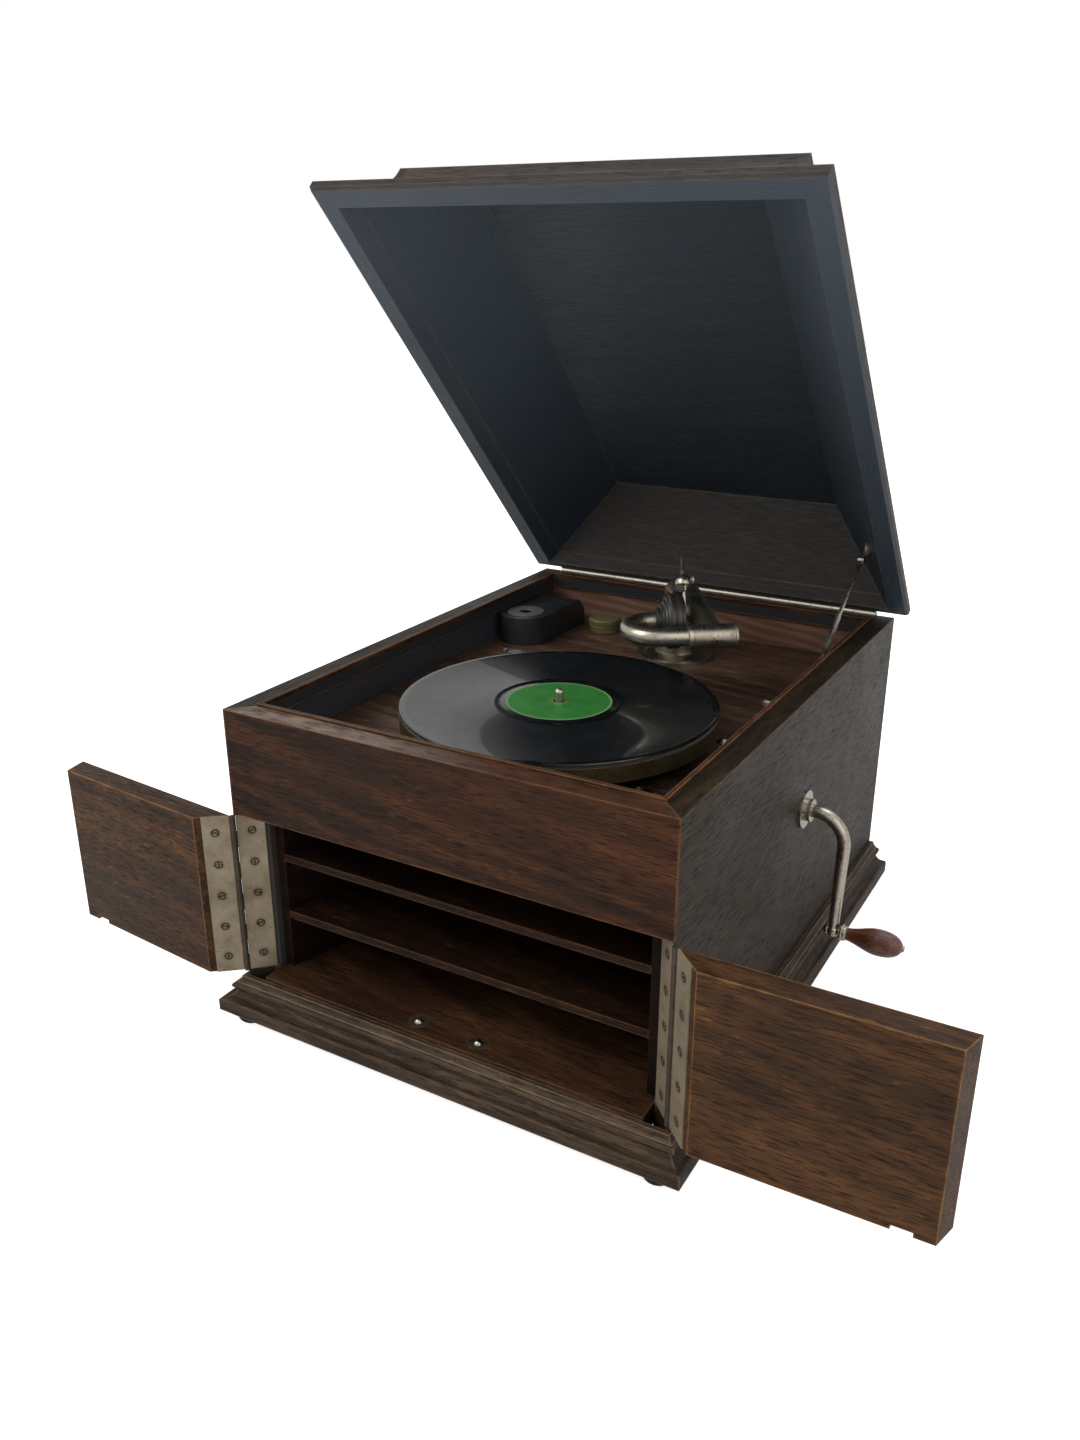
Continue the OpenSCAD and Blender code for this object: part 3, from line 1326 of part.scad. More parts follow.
module spring_barrel() {
    color("#8c8577") translate([barrel_x, barrel_y, 0]) difference() {
        union() {
            translate([0, 0, barrel_z0]) cylinder(h = gear_z - barrel_z0 + eps, r = barrel_r);
            translate([0, 0, gear_z]) rotate([0, 0, mesh_barrel]) linear_extrude(gear_t)
                gear_outline(barrel_teeth, barrel_module);
        }
        translate([0, 0, barrel_z0 + 2]) difference() {
            cylinder(h = gear_z + gear_t - barrel_z0 - 4, r = barrel_r - 3);
            translate([0, 0, -1]) cylinder(h = 40, r = 9);
        }
        translate([0, 0, barrel_z0 - 1]) cylinder(h = 40, r = 5.06);
    }
}

// The barrel arbor with its bevel gear
module winding_gear() {
    teeth = 32;
    color(dark_nickel) translate([barrel_x, barrel_y, 0]) {
        translate([0, 0, motor_low_z - 1]) cylinder(h = motor_top_z + 1 - motor_low_z, r = 5);
        translate([0, 0, winding_z - 1]) difference() {
            cylinder(h = 4.5, r1 = bevel_big_r - 3, r2 = bevel_big_r);
            for (i = [0 : teeth - 1]) rotate([0, 0, i * 360 / teeth])
                translate([bevel_big_r - 5, -0.8, -1]) cube([8, 1.6, 3.4]);
        }
    }
}

module intermediate_wheel() {
    color("#a08a4e") translate([mid_x, mid_y, 0]) {
        translate([0, 0, motor_low_z - 1]) cylinder(h = motor_top_z + 1 - motor_low_z, r = 3);
        translate([0, 0, wheel_z]) rotate([0, 0, mesh_table + 180 + 180 / wheel_teeth]) linear_extrude(wheel_t)
            gear_outline(wheel_teeth, wheel_module);
        translate([0, 0, gear_z - 1]) rotate([0, 0, mesh_barrel + 180 + 180 / pinion_teeth]) linear_extrude(gear_t + 2)
            gear_outline(pinion_teeth, barrel_module);
    }
}

governor_x0 = table_x - 47;
governor_x1 = table_x + 47;

// The governor: a worm shaft with a friction disc and three weights on flat springs
module governor() {
    color("#a08a4e") translate([0, governor_y, governor_z]) rotate([0, 90, 0]) {
        translate([0, 0, governor_x0]) cylinder(h = governor_x1 - governor_x0, r = 2, $fn = 32);
        translate([0, 0, table_x - 9]) difference() {
            cylinder(h = 18, r = worm_r, $fn = 32);
            for (i = [0 : 4]) translate([0, 0, 1.6 + i * 3.4]) difference() {
                cylinder(h = 1.4, r = worm_r + 1, $fn = 32);
                translate([0, 0, -1]) cylinder(h = 4, r = worm_r - 1.2, $fn = 32);
            }
        }
        translate([0, 0, governor_x0 + 6]) cylinder(h = 3, r = 12, $fn = 48);
        translate([0, 0, governor_x0 + 28]) cylinder(h = 4, r = 5, $fn = 48);
        for (a = [0, 120, 240]) rotate([0, 0, a]) {
            translate([4, -2.5, governor_x0 + 8]) cube([0.8, 5, 22]);
            translate([7.6, 0, governor_x0 + 16]) cylinder(h = 6, r = 3.4, $fn = 32);
        }
    }
}

side_panel_left();
side_panel_right();
back_panel();
front_fascia();
base_board();
base_moulding();
bun_feet();
rim_bead();
motor_board();
board_cleats();
horn_cheeks();
horn_top_board();
horn_slats();
horn_elbow();
cabinet_door_leaves();
door_hinge_pins();
catch_plates();
crank_escutcheon();
needle_box();
needle_box_ring();
needle_tin();
tonearm_base();
motor_bolts();
stay_guide();
lid_leaf_cabinet();
lid_hinge_pin();
speed_plate();
motor_plate();
motor_lower_plate();
motor_pillars();
lid_rim();
lid_cove();
lid_panel();
lid_leaf();
stay_bracket();
lid_stay();
door_left();
door_leaf_left();
door_knob_left();
door_right();
door_leaf_right();
door_knob_right();
catch_ball_left();
catch_ball_right();
turntable_spindle();
platter();
platter_mat();
record();
tonearm_tube();
gooseneck();
sound_box();
needle();
crank_rod();
crank_grip();
brake_lever();
speed_lever();
spring_barrel();
winding_gear();
intermediate_wheel();
governor();
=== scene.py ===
"""Dresses the table gramophone: timber, plated metal, record, sound box, grip and the studio."""

import logging
import math
from dataclasses import dataclass
from enum import Enum
from typing import ClassVar, Optional, Sequence

import bmesh
import bpy
from mathutils import Matrix, Vector

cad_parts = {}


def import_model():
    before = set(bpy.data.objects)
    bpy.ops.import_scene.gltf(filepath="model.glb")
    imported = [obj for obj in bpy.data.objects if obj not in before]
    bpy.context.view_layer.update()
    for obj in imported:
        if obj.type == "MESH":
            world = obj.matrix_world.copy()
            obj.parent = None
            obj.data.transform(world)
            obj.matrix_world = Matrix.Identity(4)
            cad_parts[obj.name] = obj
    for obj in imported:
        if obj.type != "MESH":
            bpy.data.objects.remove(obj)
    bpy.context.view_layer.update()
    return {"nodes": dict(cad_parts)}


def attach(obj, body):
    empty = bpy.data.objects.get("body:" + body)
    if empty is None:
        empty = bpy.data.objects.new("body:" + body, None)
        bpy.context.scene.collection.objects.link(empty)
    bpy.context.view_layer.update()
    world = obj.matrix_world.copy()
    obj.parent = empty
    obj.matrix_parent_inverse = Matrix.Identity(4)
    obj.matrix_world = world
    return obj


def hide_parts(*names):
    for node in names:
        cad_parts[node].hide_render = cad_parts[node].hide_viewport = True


log = logging.getLogger("gramophone")

Colour = tuple[float, float, float, float]
Point = tuple[float, float]
Span = tuple[float, float]
Place = tuple[float, float, float]
Socket = bpy.types.NodeSocket
Material = bpy.types.Material
Looks = dict[str, Material]

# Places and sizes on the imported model, in metres and radians
HALF_WIDTH = 0.190
HALF_DEPTH = 0.250
RIM_HEIGHT = 0.276
SIDE_WALL = 0.175
BACK_WALL = 0.234
WALL_TOP = 0.274
LID_AXIS = (0.0, 0.2528, 0.276)
LID_ANGLE = math.radians(46.5)
ARM_PIVOT = (0.008, 0.154)
ARM_TURN = math.radians(34.4)
ARM_LENGTH = 0.1587
HEAD_HEIGHT = 0.305
NECK_OFFSET = 0.046
NEEDLE_LIFT = math.radians(60.0)
TABLE_AXIS = (0.013, -0.087)

RIGHT_ANGLE = math.pi / 2
MM_PER_METRE = 1000
BEVEL_STEPS = 3
WHITE = (1, 1, 1, 1)

# Angles in degrees under which edges shade smoothly
TURNED_SMOOTH = 32.0
PLAIN_SMOOTH = 40.0

# Distances in metres under which two points are one, and a point lies on the lathe's axis
WELD = 1e-7
ON_AXIS = 1e-6


def colour(code: str) -> Colour:
    """Turns a six-digit screen colour into the linear values that shaders use.

    Args:
        code: The colour as "rrggbb".

    Returns:
        Linear red, green, blue and an alpha of 1.
    """
    parts = [int(code[i : i + 2], 16) / 255 for i in (0, 2, 4)]
    linear = [c / 12.92 if c <= 0.04045 else ((c + 0.055) / 1.055) ** 2.4 for c in parts]
    return (linear[0], linear[1], linear[2], 1.0)


class Grain(Enum):
    """The way that a board's grain runs."""

    WIDTH = "x"
    DEPTH = "y"
    HEIGHT = "z"
    MITRED = "mitred"
    LID_RAILS = "lid rails"
    LID_WIDTH = "lid width"


class Hollow(Enum):
    """The hollow whose inner walls get painted reflection and shade, if a finish has one."""

    NONE = "none"
    LID = "lid"
    BOX = "box"
    BACK = "back"


class Tree:
    """Adds joined nodes to a node tree."""

    def __init__(self, tree: bpy.types.NodeTree) -> None:
        """Empties the tree.

        Args:
            tree: The node tree to fill.
        """
        self.tree = tree
        tree.nodes.clear()

    def feed(self, target: Socket, value: object) -> None:
        """Links a socket to an input, or sets the input to a constant."""
        if isinstance(value, Socket):
            self.tree.links.new(value, target)
        else:
            target.default_value = value

    def node(self, kind: str, values: Optional[dict] = None, **settings: object) -> bpy.types.Node:
        """Adds a node.

        Args:
            kind: Its type.
            values: What each input gets, by the input's name or number.
            settings: Its plain properties.

        Returns:
            The node.
        """
        made = self.tree.nodes.new(kind)
        for key, value in settings.items():
            setattr(made, key, value)
        for key, value in (values or {}).items():
            self.feed(made.inputs[key], value)
        return made


class Graph(Tree):
    """Builds and joins the shader nodes of one material."""

    def __init__(self, name: str) -> None:
        """Starts an empty material with its surface shader.

        Args:
            name: The material's name.
        """
        self.material = bpy.data.materials.new(name)
        self.material.use_nodes = True
        super().__init__(self.material.node_tree)
        self.output = self.node("ShaderNodeOutputMaterial")
        self.surface = self.node("ShaderNodeBsdfPrincipled")
        self.feed(self.output.inputs["Surface"], self.surface.outputs["BSDF"])

    def place(self) -> Socket:
        """Returns the object coordinates."""
        return self.node("ShaderNodeTexCoord").outputs["Object"]

    def dot(self, first: object, second: object) -> Socket:
        """Returns the dot product of two directions."""
        made = self.node("ShaderNodeVectorMath", {0: first, 1: second}, operation="DOT_PRODUCT")
        return made.outputs["Value"]

    def facing(self, direction: Place) -> Socket:
        """Returns how far the surface faces a direction of the object's own frame, from -1 to 1."""
        return self.dot(self.node("ShaderNodeTexCoord").outputs["Normal"], direction)

    def mapping(self, vector: Socket, location: Place = (0, 0, 0), rotation: Place = (0, 0, 0),
                scale: Place = (1, 1, 1)) -> Socket:
        """Moves, turns and scales coordinates."""
        values = {"Vector": vector, "Location": location, "Rotation": rotation, "Scale": scale}
        return self.node("ShaderNodeMapping", values).outputs["Vector"]

    def stretched(self, vector: Socket, x: float, y: float = 1.0, z: float = 1.0) -> Socket:
        """Scales coordinates, so that a pattern on them is drawn out."""
        return self.mapping(vector, scale=(x, y, z))

    def turned(self, vector: Socket, centre: Place, axis: Place, angle: float) -> Socket:
        """Turns coordinates about an axis through a point."""
        values = {"Vector": vector, "Center": centre, "Axis": axis, "Angle": angle}
        return self.node("ShaderNodeVectorRotate", values, rotation_type="AXIS_ANGLE").outputs["Vector"]

    def noise(self, vector: Socket, scale: float, detail: float = 3.0, roughness: float = 0.55) -> Socket:
        """Returns soft noise from 0 to 1."""
        values = {"Vector": vector, "Scale": scale, "Detail": detail, "Roughness": roughness}
        return self.node("ShaderNodeTexNoise", values).outputs["Fac"]

    def bands(self, vector: Socket, scale: float, distortion: float = 9.0) -> Socket:
        """Returns the wavy lines of cut growth rings."""
        values = {"Vector": vector, "Scale": scale, "Distortion": distortion, "Detail": 3.0,
                  "Detail Scale": 0.6}
        made = self.node("ShaderNodeTexWave", values, wave_type="BANDS", bands_direction="DIAGONAL")
        return made.outputs["Fac"]

    def ramp(self, value: Socket, low: float, high: float, start: float = 0.0, end: float = 1.0) -> Socket:
        """Spreads a range of values over another one, clamped at its ends."""
        values = {"Value": value, "From Min": low, "From Max": high, "To Min": start, "To Max": end}
        return self.node("ShaderNodeMapRange", values, clamp=True).outputs["Result"]

    def under(self, value: Socket, limit: float, soft: float) -> Socket:
        """Returns 1 under a limit and 0 above it, with a soft step between them."""
        return self.ramp(value, limit + soft, limit - soft)

    def maths(self, operation: str, first: object, second: object = 0.0) -> Socket:
        """Works out two values, or the first alone, by a named operation."""
        return self.node("ShaderNodeMath", {0: first, 1: second}, operation=operation).outputs["Value"]

    def total(self, first: object, second: object) -> Socket:
        """Adds two values."""
        return self.maths("ADD", first, second)

    def less(self, first: object, second: object) -> Socket:
        """Takes the second value from the first."""
        return self.maths("SUBTRACT", first, second)

    def product(self, first: object, second: object) -> Socket:
        """Multiplies two values."""
        return self.maths("MULTIPLY", first, second)

    def size(self, value: object) -> Socket:
        """Drops a value's sign."""
        return self.maths("ABSOLUTE", value)

    def length(self, first: Socket, second: Socket) -> Socket:
        """Returns the length of a plane vector from its two parts."""
        return self.maths("SQRT", self.total(self.product(first, first), self.product(second, second)))

    def blend(self, amount: object, first: object, second: object, mode: str = "MIX") -> Socket:
        """Mixes two colours."""
        values = {0: amount, 6: first, 7: second}
        return self.node("ShaderNodeMix", values, data_type="RGBA", blend_type=mode).outputs[2]

    def coat(self, amount: object, base: object, code: str, mode: str = "MIX") -> Socket:
        """Lays a screen colour over the colour so far."""
        return self.blend(amount, base, colour(code), mode)

    def shades(self, amount: object, first: str, second: str) -> Socket:
        """Mixes two screen colours."""
        return self.blend(amount, colour(first), colour(second))

    def parts(self, vector: Socket) -> tuple[Socket, Socket, Socket]:
        """Splits coordinates into X, Y and Z."""
        made = self.node("ShaderNodeSeparateXYZ", {0: vector})
        return made.outputs[0], made.outputs[1], made.outputs[2]

    def away(self, axis: Point) -> Socket:
        """Returns the distance from an upright axis."""
        flat = self.mapping(self.place(), (-axis[0], -axis[1], 0.0), scale=(1, 1, 0))
        return self.node("ShaderNodeVectorMath", {0: flat}, operation="LENGTH").outputs["Value"]

    def soft_edge(self, radius: float) -> Socket:
        """Returns the surface normal with its edges rounded over."""
        return self.node("ShaderNodeBevel", {"Radius": radius}, samples=4).outputs["Normal"]

    def edges(self, radius: float) -> Socket:
        """Returns how near the surface is to an edge, from 0 to 1."""
        plain = self.node("ShaderNodeNewGeometry").outputs["Normal"]
        return self.ramp(self.dot(self.soft_edge(radius), plain), 1.0, 0.86)

    def relief(self, height: Socket, depth: float, strength: float, edge: float = 0.0) -> Socket:
        """Turns a height pattern into a normal.

        Args:
            height: The pattern.
            depth: Its depth in metres.
            strength: How strongly it shows.
            edge: The radius to which edges are rounded over, or 0.

        Returns:
            The normal.
        """
        values = {"Strength": strength, "Distance": depth, "Height": height}
        if edge:
            values["Normal"] = self.soft_edge(edge)
        return self.node("ShaderNodeBump", values).outputs["Normal"]

    def done(self, base: object, roughness: object, normal: Optional[Socket] = None,
             **others: object) -> Material:
        """Feeds the surface shader.

        Args:
            base: Its colour.
            roughness: Its roughness.
            normal: Its normal, where it has a relief.
            others: Its other inputs, with underscores for spaces.

        Returns:
            The material.
        """
        self.feed(self.surface.inputs["Base Color"], base)
        self.feed(self.surface.inputs["Roughness"], roughness)
        if normal is not None:
            self.feed(self.surface.inputs["Normal"], normal)
        for label, value in others.items():
            self.feed(self.surface.inputs[label.replace("_", " ")], value)
        return self.material


@dataclass(frozen=True)
class Oak:
    """Fumed oak: growth rings, long dark pores, pale ray flecks, worn edges and a thin old polish; some
    finishes add painted reflection and shade on hollow walls, a painted highlight on the front rail's top and
    painted shade on faces turned to +X.
    """

    name: str
    grain: Grain
    dark: str
    mid: str
    light: str
    worn: str
    wear: float = 0.6
    polish: float = 0.10
    sheen: float = 0.18
    roughness: float = 0.42
    ring_scale: float = 26.0
    edge: float = 0.0022
    figure: float = 1.0
    hollow: Hollow = Hollow.NONE
    cool: str = "2a3036"
    deep: str = "1a2024"
    warm: str = "3b322b"
    crown_highlight: str = ""
    shaded: float = 0.0

    def _lid_walls(self, g: Graph, base: Socket, tone: Socket) -> Socket:
        """Paints a cool reflection over the lid's inner walls, with painted shade deepening towards the
        hinge, and a warmer painted reflection on the back wall.

        Args:
            g: The material being built.
            base: The colour outside the hollow.
            tone: A pattern that varies the sheen.

        Returns:
            The colour everywhere.
        """
        sine, cosine = math.sin(LID_ANGLE), math.cos(LID_ANGLE)
        # Painted reflection and shade on the lid's inner faces: cool, darker towards the hinge, warm on the
        # forward-facing back wall
        under = g.ramp(g.facing((0, sine, cosine)), -0.1, -0.3)
        ahead = g.ramp(g.facing((0, -cosine, sine)), 0.55, 0.8)
        _, depth, _ = g.parts(g.turned(g.place(), LID_AXIS, (1, 0, 0), LID_ANGLE))
        depth = g.total(depth, g.ramp(tone, 0.2, 0.8, -0.05, 0.05))
        cool = g.shades(g.ramp(depth, -0.27, 0.17), self.cool, self.deep)
        wall = g.coat(ahead, cool, self.warm)
        grained = g.blend(g.ramp(ahead, 0.0, 1.0, 0.14, 0.28), wall, base)
        return g.blend(under, base, grained)

    def _box_walls(self, g: Graph, base: Socket, tone: Socket) -> Socket:
        """Paints reflected light and shade over the inner faces of the box: its sides, or its back with the
        grain showing.

        Args:
            g: The material being built.
            base: The colour outside the hollow.
            tone: A pattern that varies the sheen.

        Returns:
            The colour everywhere.
        """
        x, y, z = g.parts(g.place())
        # Painted reflected light and shade for the inner walls
        sheen = g.shades(g.ramp(tone, 0.3, 0.7), self.cool, self.warm)
        if self.hollow is Hollow.BOX:
            inside = g.under(g.size(x), SIDE_WALL, 0.001)
        else:
            inside = g.under(y, BACK_WALL, 0.0005)
            rings = g.bands(g.stretched(g.place(), 0.16), 60.0)
            sheen = g.blend(g.less(1.0, g.ramp(rings, 0.2, 0.9, 0.62, 1.0)), sheen, base)
        return g.blend(g.product(inside, g.under(z, WALL_TOP, 0.0005)), base, sheen)

    def _painted_rail_highlight(self, g: Graph, base: Socket) -> Socket:
        """Pales the top of the front rail towards its left end: a painted highlight, made patchy by noise.

        Args:
            g: The material being built.
            base: The colour so far.

        Returns:
            The colour everywhere.
        """
        x, _, z = g.parts(g.place())
        top = g.ramp(z, RIM_HEIGHT - 0.0009, RIM_HEIGHT - 0.0003)
        # Noise that makes the painted highlight patchy
        rubbed = g.noise(g.stretched(g.place(), 0.4), 130.0, 4.0, 0.65)
        left = g.ramp(g.total(x, g.ramp(rubbed, 0.3, 0.7, -0.03, 0.03)), 0.05, -0.05, 0.06, 0.62)
        uneven = g.product(left, g.ramp(rubbed, 0.38, 0.60, 0.25, 1.0))
        # Painted highlight on the rail's top, strongest at its left end
        return g.coat(g.product(top, uneven), base, self.crown_highlight)

    def _along(self, g: Graph) -> Socket:
        """Gives coordinates whose first axis runs along the grain.

        Args:
            g: The material being built.

        Returns:
            Coordinates in metres.
        """
        place = g.place()
        if self.grain is Grain.WIDTH:
            return place
        if self.grain is Grain.DEPTH:
            return g.mapping(place, rotation=(0, 0, RIGHT_ANGLE))
        if self.grain is Grain.HEIGHT:
            return g.mapping(place, rotation=(0, RIGHT_ANGLE, 0))
        if self.grain in (Grain.LID_WIDTH, Grain.LID_RAILS):
            place = g.turned(place, LID_AXIS, (1, 0, 0), LID_ANGLE)
        if self.grain is Grain.LID_WIDTH:
            return place
        x, y, _ = g.parts(place)
        side = g.maths("GREATER_THAN", g.less(g.size(x), HALF_WIDTH), g.less(g.size(y), HALF_DEPTH))
        across = g.mapping(place, rotation=(0, 0, RIGHT_ANGLE))
        return g.node("ShaderNodeMix", {0: side, 4: place, 5: across}, data_type="VECTOR").outputs[1]

    def build(self) -> Material:
        """Makes the material."""
        g = Graph(self.name)
        along = self._along(g)
        cloud = g.noise(g.stretched(along, 0.22), 11.0, 4.0, 0.62)
        rings = g.bands(g.stretched(along, 0.16), self.ring_scale)
        pores = g.noise(g.stretched(along, 0.075), 820.0, 2.0, 0.6)
        streak = g.noise(g.stretched(along, 0.06), 300.0, 3.0, 0.6)
        fleck = g.noise(g.stretched(along, 0.30), 260.0, 1.0, 0.4)
        patch = g.noise(g.place(), 8.0, 4.0, 0.6)
        base = g.shades(g.ramp(cloud, 0.36, 0.66), self.dark, self.mid)
        base = g.coat(g.ramp(rings, 0.45, 0.95, 0.0, 0.30 * self.figure), base, self.light)
        base = g.coat(g.ramp(streak, 0.50, 0.72, 0.0, 0.40 * self.figure), base, self.light)
        base = g.coat(g.ramp(fleck, 0.66, 0.78, 0.0, 0.22 * self.figure), base, self.worn)
        base = g.coat(g.ramp(pores, 0.50, 0.38, 0.0, 0.70), base, self.dark, "MULTIPLY")
        base = g.coat(g.ramp(patch, 0.60, 0.36, 0.0, 0.55), base, self.dark)
        if self.hollow is Hollow.LID:
            base = self._lid_walls(g, base, patch)
        elif self.hollow is not Hollow.NONE:
            base = self._box_walls(g, base, patch)
        if self.crown_highlight:
            base = self._painted_rail_highlight(g, base)
        if self.shaded:
            base = g.coat(g.ramp(g.facing((1, 0, 0)), 0.3, 0.8, 0.0, self.shaded), base, self.dark)
        rub = g.product(g.edges(self.edge), g.ramp(g.noise(g.place(), 60.0, 4.0, 0.7), 0.34, 0.62))
        base = g.coat(g.product(rub, self.wear), base, self.worn)
        base = g.coat(g.product(g.edges(self.edge * 0.35), self.wear), base, self.worn, "LIGHTEN")
        rough = g.total(g.ramp(patch, 0.3, 0.7, self.roughness - 0.07, self.roughness + 0.10),
                        g.ramp(pores, 0.5, 0.4, 0.0, 0.12))
        height = g.total(g.ramp(pores, 0.40, 0.52), g.product(streak, 0.6))
        return g.done(base, rough, g.relief(height, 0.00025, 0.6, 0.0009), Coat_Weight=self.polish,
                      Coat_Roughness=0.30, Specular_IOR_Level=self.sheen)


@dataclass(frozen=True)
class Plate:
    """Old plated or oiled metal: tarnish clouds, fine rubs, dull spots and bright worn edges."""

    name: str
    bright: str
    tarnish: str
    spots: str
    roughness: float = 0.30
    cover: float = 0.5
    bright_edges: float = 0.5
    metallic: float = 1.0
    edge: float = 0.0006

    def build(self) -> Material:
        """Makes the material."""
        g = Graph(self.name)
        place = g.place()
        cloud = g.noise(place, 45.0, 5.0, 0.65)
        rubs = g.noise(g.stretched(place, 1.0, 0.12, 0.3), 900.0, 3.0, 0.6)
        dots = g.noise(place, 420.0, 3.0, 0.7)
        base = g.shades(g.ramp(cloud, 0.62 - 0.25 * self.cover, 0.72), self.bright, self.tarnish)
        base = g.coat(g.ramp(dots, 0.58, 0.70, 0.0, 0.75), base, self.spots)
        base = g.coat(g.product(g.edges(self.edge), self.bright_edges), base, self.bright)
        rough = g.total(g.ramp(cloud, 0.35, 0.7, self.roughness - 0.06, self.roughness + 0.16),
                        g.ramp(rubs, 0.4, 0.7, -0.04, 0.08))
        height = g.total(g.product(rubs, 0.5), g.product(dots, 0.8))
        return g.done(base, rough, g.relief(height, 0.00006, 0.5, 0.0003), Metallic=self.metallic)


@dataclass(frozen=True)
class DoorLeaf:
    """Old nickel on brass, dull and stained, with grime round the slotted screws."""

    name: str
    bright: str
    dull: str
    grime: str
    joint: str = "2a241b"
    axis: Point = (0.1907, -0.2507)
    first: float = 0.05836
    step: float = 0.02832
    across: float = 0.01421
    head: float = 0.0030
    slot_turn: float = 2.1
    slot: Span = (0.0007, 0.0004)
    joint_radius: Span = (0.0030, 0.0023)

    def build(self) -> Material:
        """Makes the material."""
        g = Graph(self.name)
        place = g.place()
        x, y, z = g.parts(place)
        from_pin = g.length(g.less(g.size(x), self.axis[0]), g.less(y, self.axis[1]))
        out = g.less(from_pin, self.across)
        turns = g.total(g.maths("DIVIDE", g.less(z, self.first), self.step), 0.5)
        up = g.product(g.less(g.maths("FRACT", turns), 0.5), self.step)
        far = g.length(out, up)
        worn_far = g.total(far, g.product(g.less(g.noise(place, 600.0, 3.0, 0.6), 0.5), 0.0016))
        seat = g.product(g.ramp(worn_far, self.head - 0.0010, self.head - 0.0004),
                         g.ramp(worn_far, self.head + 0.0007, self.head + 0.0002))
        angle = g.product(g.maths("FLOOR", turns), self.slot_turn)
        line = g.size(g.total(g.product(out, g.maths("COSINE", angle)),
                              g.product(up, g.maths("SINE", angle))))
        slot = g.product(g.ramp(line, *self.slot), g.ramp(far, self.head, self.head - 0.0004))
        cloud = g.noise(place, 38.0, 5.0, 0.65)
        dots = g.noise(place, 300.0, 4.0, 0.7)
        base = g.shades(g.ramp(cloud, 0.38, 0.66), self.bright, self.dull)
        base = g.coat(g.ramp(dots, 0.63, 0.72, 0.0, 0.8), base, self.grime)
        base = g.coat(g.ramp(worn_far, self.head + 0.0030, self.head, 0.0, 0.30), base, self.grime)
        base = g.coat(g.maths("MAXIMUM", seat, g.product(slot, 0.95)), base, self.grime)
        base = g.coat(g.product(g.ramp(from_pin, *self.joint_radius), 0.85), base, self.joint)
        height = g.less(g.product(dots, 0.5), g.maths("MAXIMUM", seat, slot))
        return g.done(base, g.ramp(cloud, 0.35, 0.7, 0.46, 0.62), g.relief(height, 0.0002, 0.6, 0.0003),
                      Metallic=0.55)


@dataclass(frozen=True)
class HingeLine:
    """The lid's long hinge: a dark leaf, and a painted highlight along the top of the pin's knuckles."""

    name: str
    leaf: str
    second: str
    barrel: str
    rubbed: str = "8d877a"
    barrel_radius: float = 0.0027
    upper: Place = (0.0, -0.62, 0.78)

    def build(self) -> Material:
        """Makes the material."""
        g = Graph(self.name)
        place = g.place()
        _, y, z = g.parts(place)
        far = g.length(g.less(y, LID_AXIS[1]), g.less(z, LID_AXIS[2]))
        near = g.ramp(far, self.barrel_radius + 0.0002, self.barrel_radius)
        top = g.ramp(g.facing(self.upper), 0.35, 0.75)
        cloud = g.noise(place, 60.0, 5.0, 0.65)
        dots = g.noise(place, 420.0, 3.0, 0.7)
        base = g.shades(g.ramp(cloud, 0.35, 0.7), self.leaf, self.second)
        base = g.coat(g.product(g.edges(0.0008), 0.8), base, self.rubbed)
        # Painted highlight along the upper, forward faces of the knuckles
        base = g.coat(g.product(near, top), base, self.barrel)
        base = g.coat(g.ramp(dots, 0.62, 0.74, 0.0, 0.5), base, self.second)
        return g.done(base, g.ramp(cloud, 0.35, 0.7, 0.36, 0.55), g.relief(dots, 0.00005, 0.5, 0.0003),
                      Metallic=0.6)


@dataclass(frozen=True)
class Paint:
    """Paint, enamel, card or lacquer with rubbed edges and a little dust."""

    name: str
    base: str
    second: str
    worn: str
    roughness: float = 0.4
    wear: float = 0.6
    grain: float = 300.0
    depth: float = 0.00005
    varnish: float = 0.0
    edge: float = 0.0012

    def build(self) -> Material:
        """Makes the material."""
        g = Graph(self.name)
        place = g.place()
        cloud = g.noise(place, 35.0, 5.0, 0.6)
        fine = g.noise(place, self.grain, 3.0, 0.6)
        base = g.shades(g.ramp(cloud, 0.35, 0.65), self.base, self.second)
        rub = g.product(g.edges(self.edge), g.ramp(g.noise(place, 120.0, 4.0, 0.7), 0.38, 0.6))
        base = g.coat(g.product(rub, self.wear), base, self.worn)
        base = g.coat(g.ramp(fine, 0.60, 0.75, 0.0, 0.25), base, self.worn)
        rough = g.ramp(cloud, 0.3, 0.7, self.roughness - 0.06, self.roughness + 0.12)
        return g.done(base, rough, g.relief(fine, self.depth, 0.6, 0.0005), Coat_Weight=self.varnish)


@dataclass(frozen=True)
class Grooved:
    """Pressed black shellac with its spiral groove, dull play wear and dust."""

    name: str
    base: str
    grey: str
    dust: str = "4a4d4e"
    pitch: float = 0.00055
    last_groove: Span = (0.0520, 0.0535)
    first_groove: Span = (0.1225, 0.1210)

    def build(self) -> Material:
        """Makes the material."""
        g = Graph(self.name)
        radius = g.away(TABLE_AXIS)
        wave = g.maths("SINE", g.product(radius, 2 * math.pi / self.pitch))
        cut = g.product(g.ramp(radius, *self.last_groove), g.ramp(radius, *self.first_groove))
        ring = g.node("ShaderNodeCombineXYZ", {0: radius}).outputs[0]
        tone = g.noise(ring, 420.0, 3.0, 0.7)
        dust = g.noise(g.place(), 55.0, 5.0, 0.7)
        base = g.shades(g.product(g.ramp(tone, 0.35, 0.7), cut), self.base, self.grey)
        base = g.coat(g.ramp(dust, 0.55, 0.80, 0.0, 0.18), base, self.dust)
        rough = g.total(g.product(cut, 0.10), g.ramp(dust, 0.3, 0.75, 0.16, 0.30))
        return g.done(base, rough, g.relief(g.product(wave, cut), 0.00002, 0.35), Specular_IOR_Level=0.5,
                      Coat_Weight=0.35, Coat_Roughness=0.05)


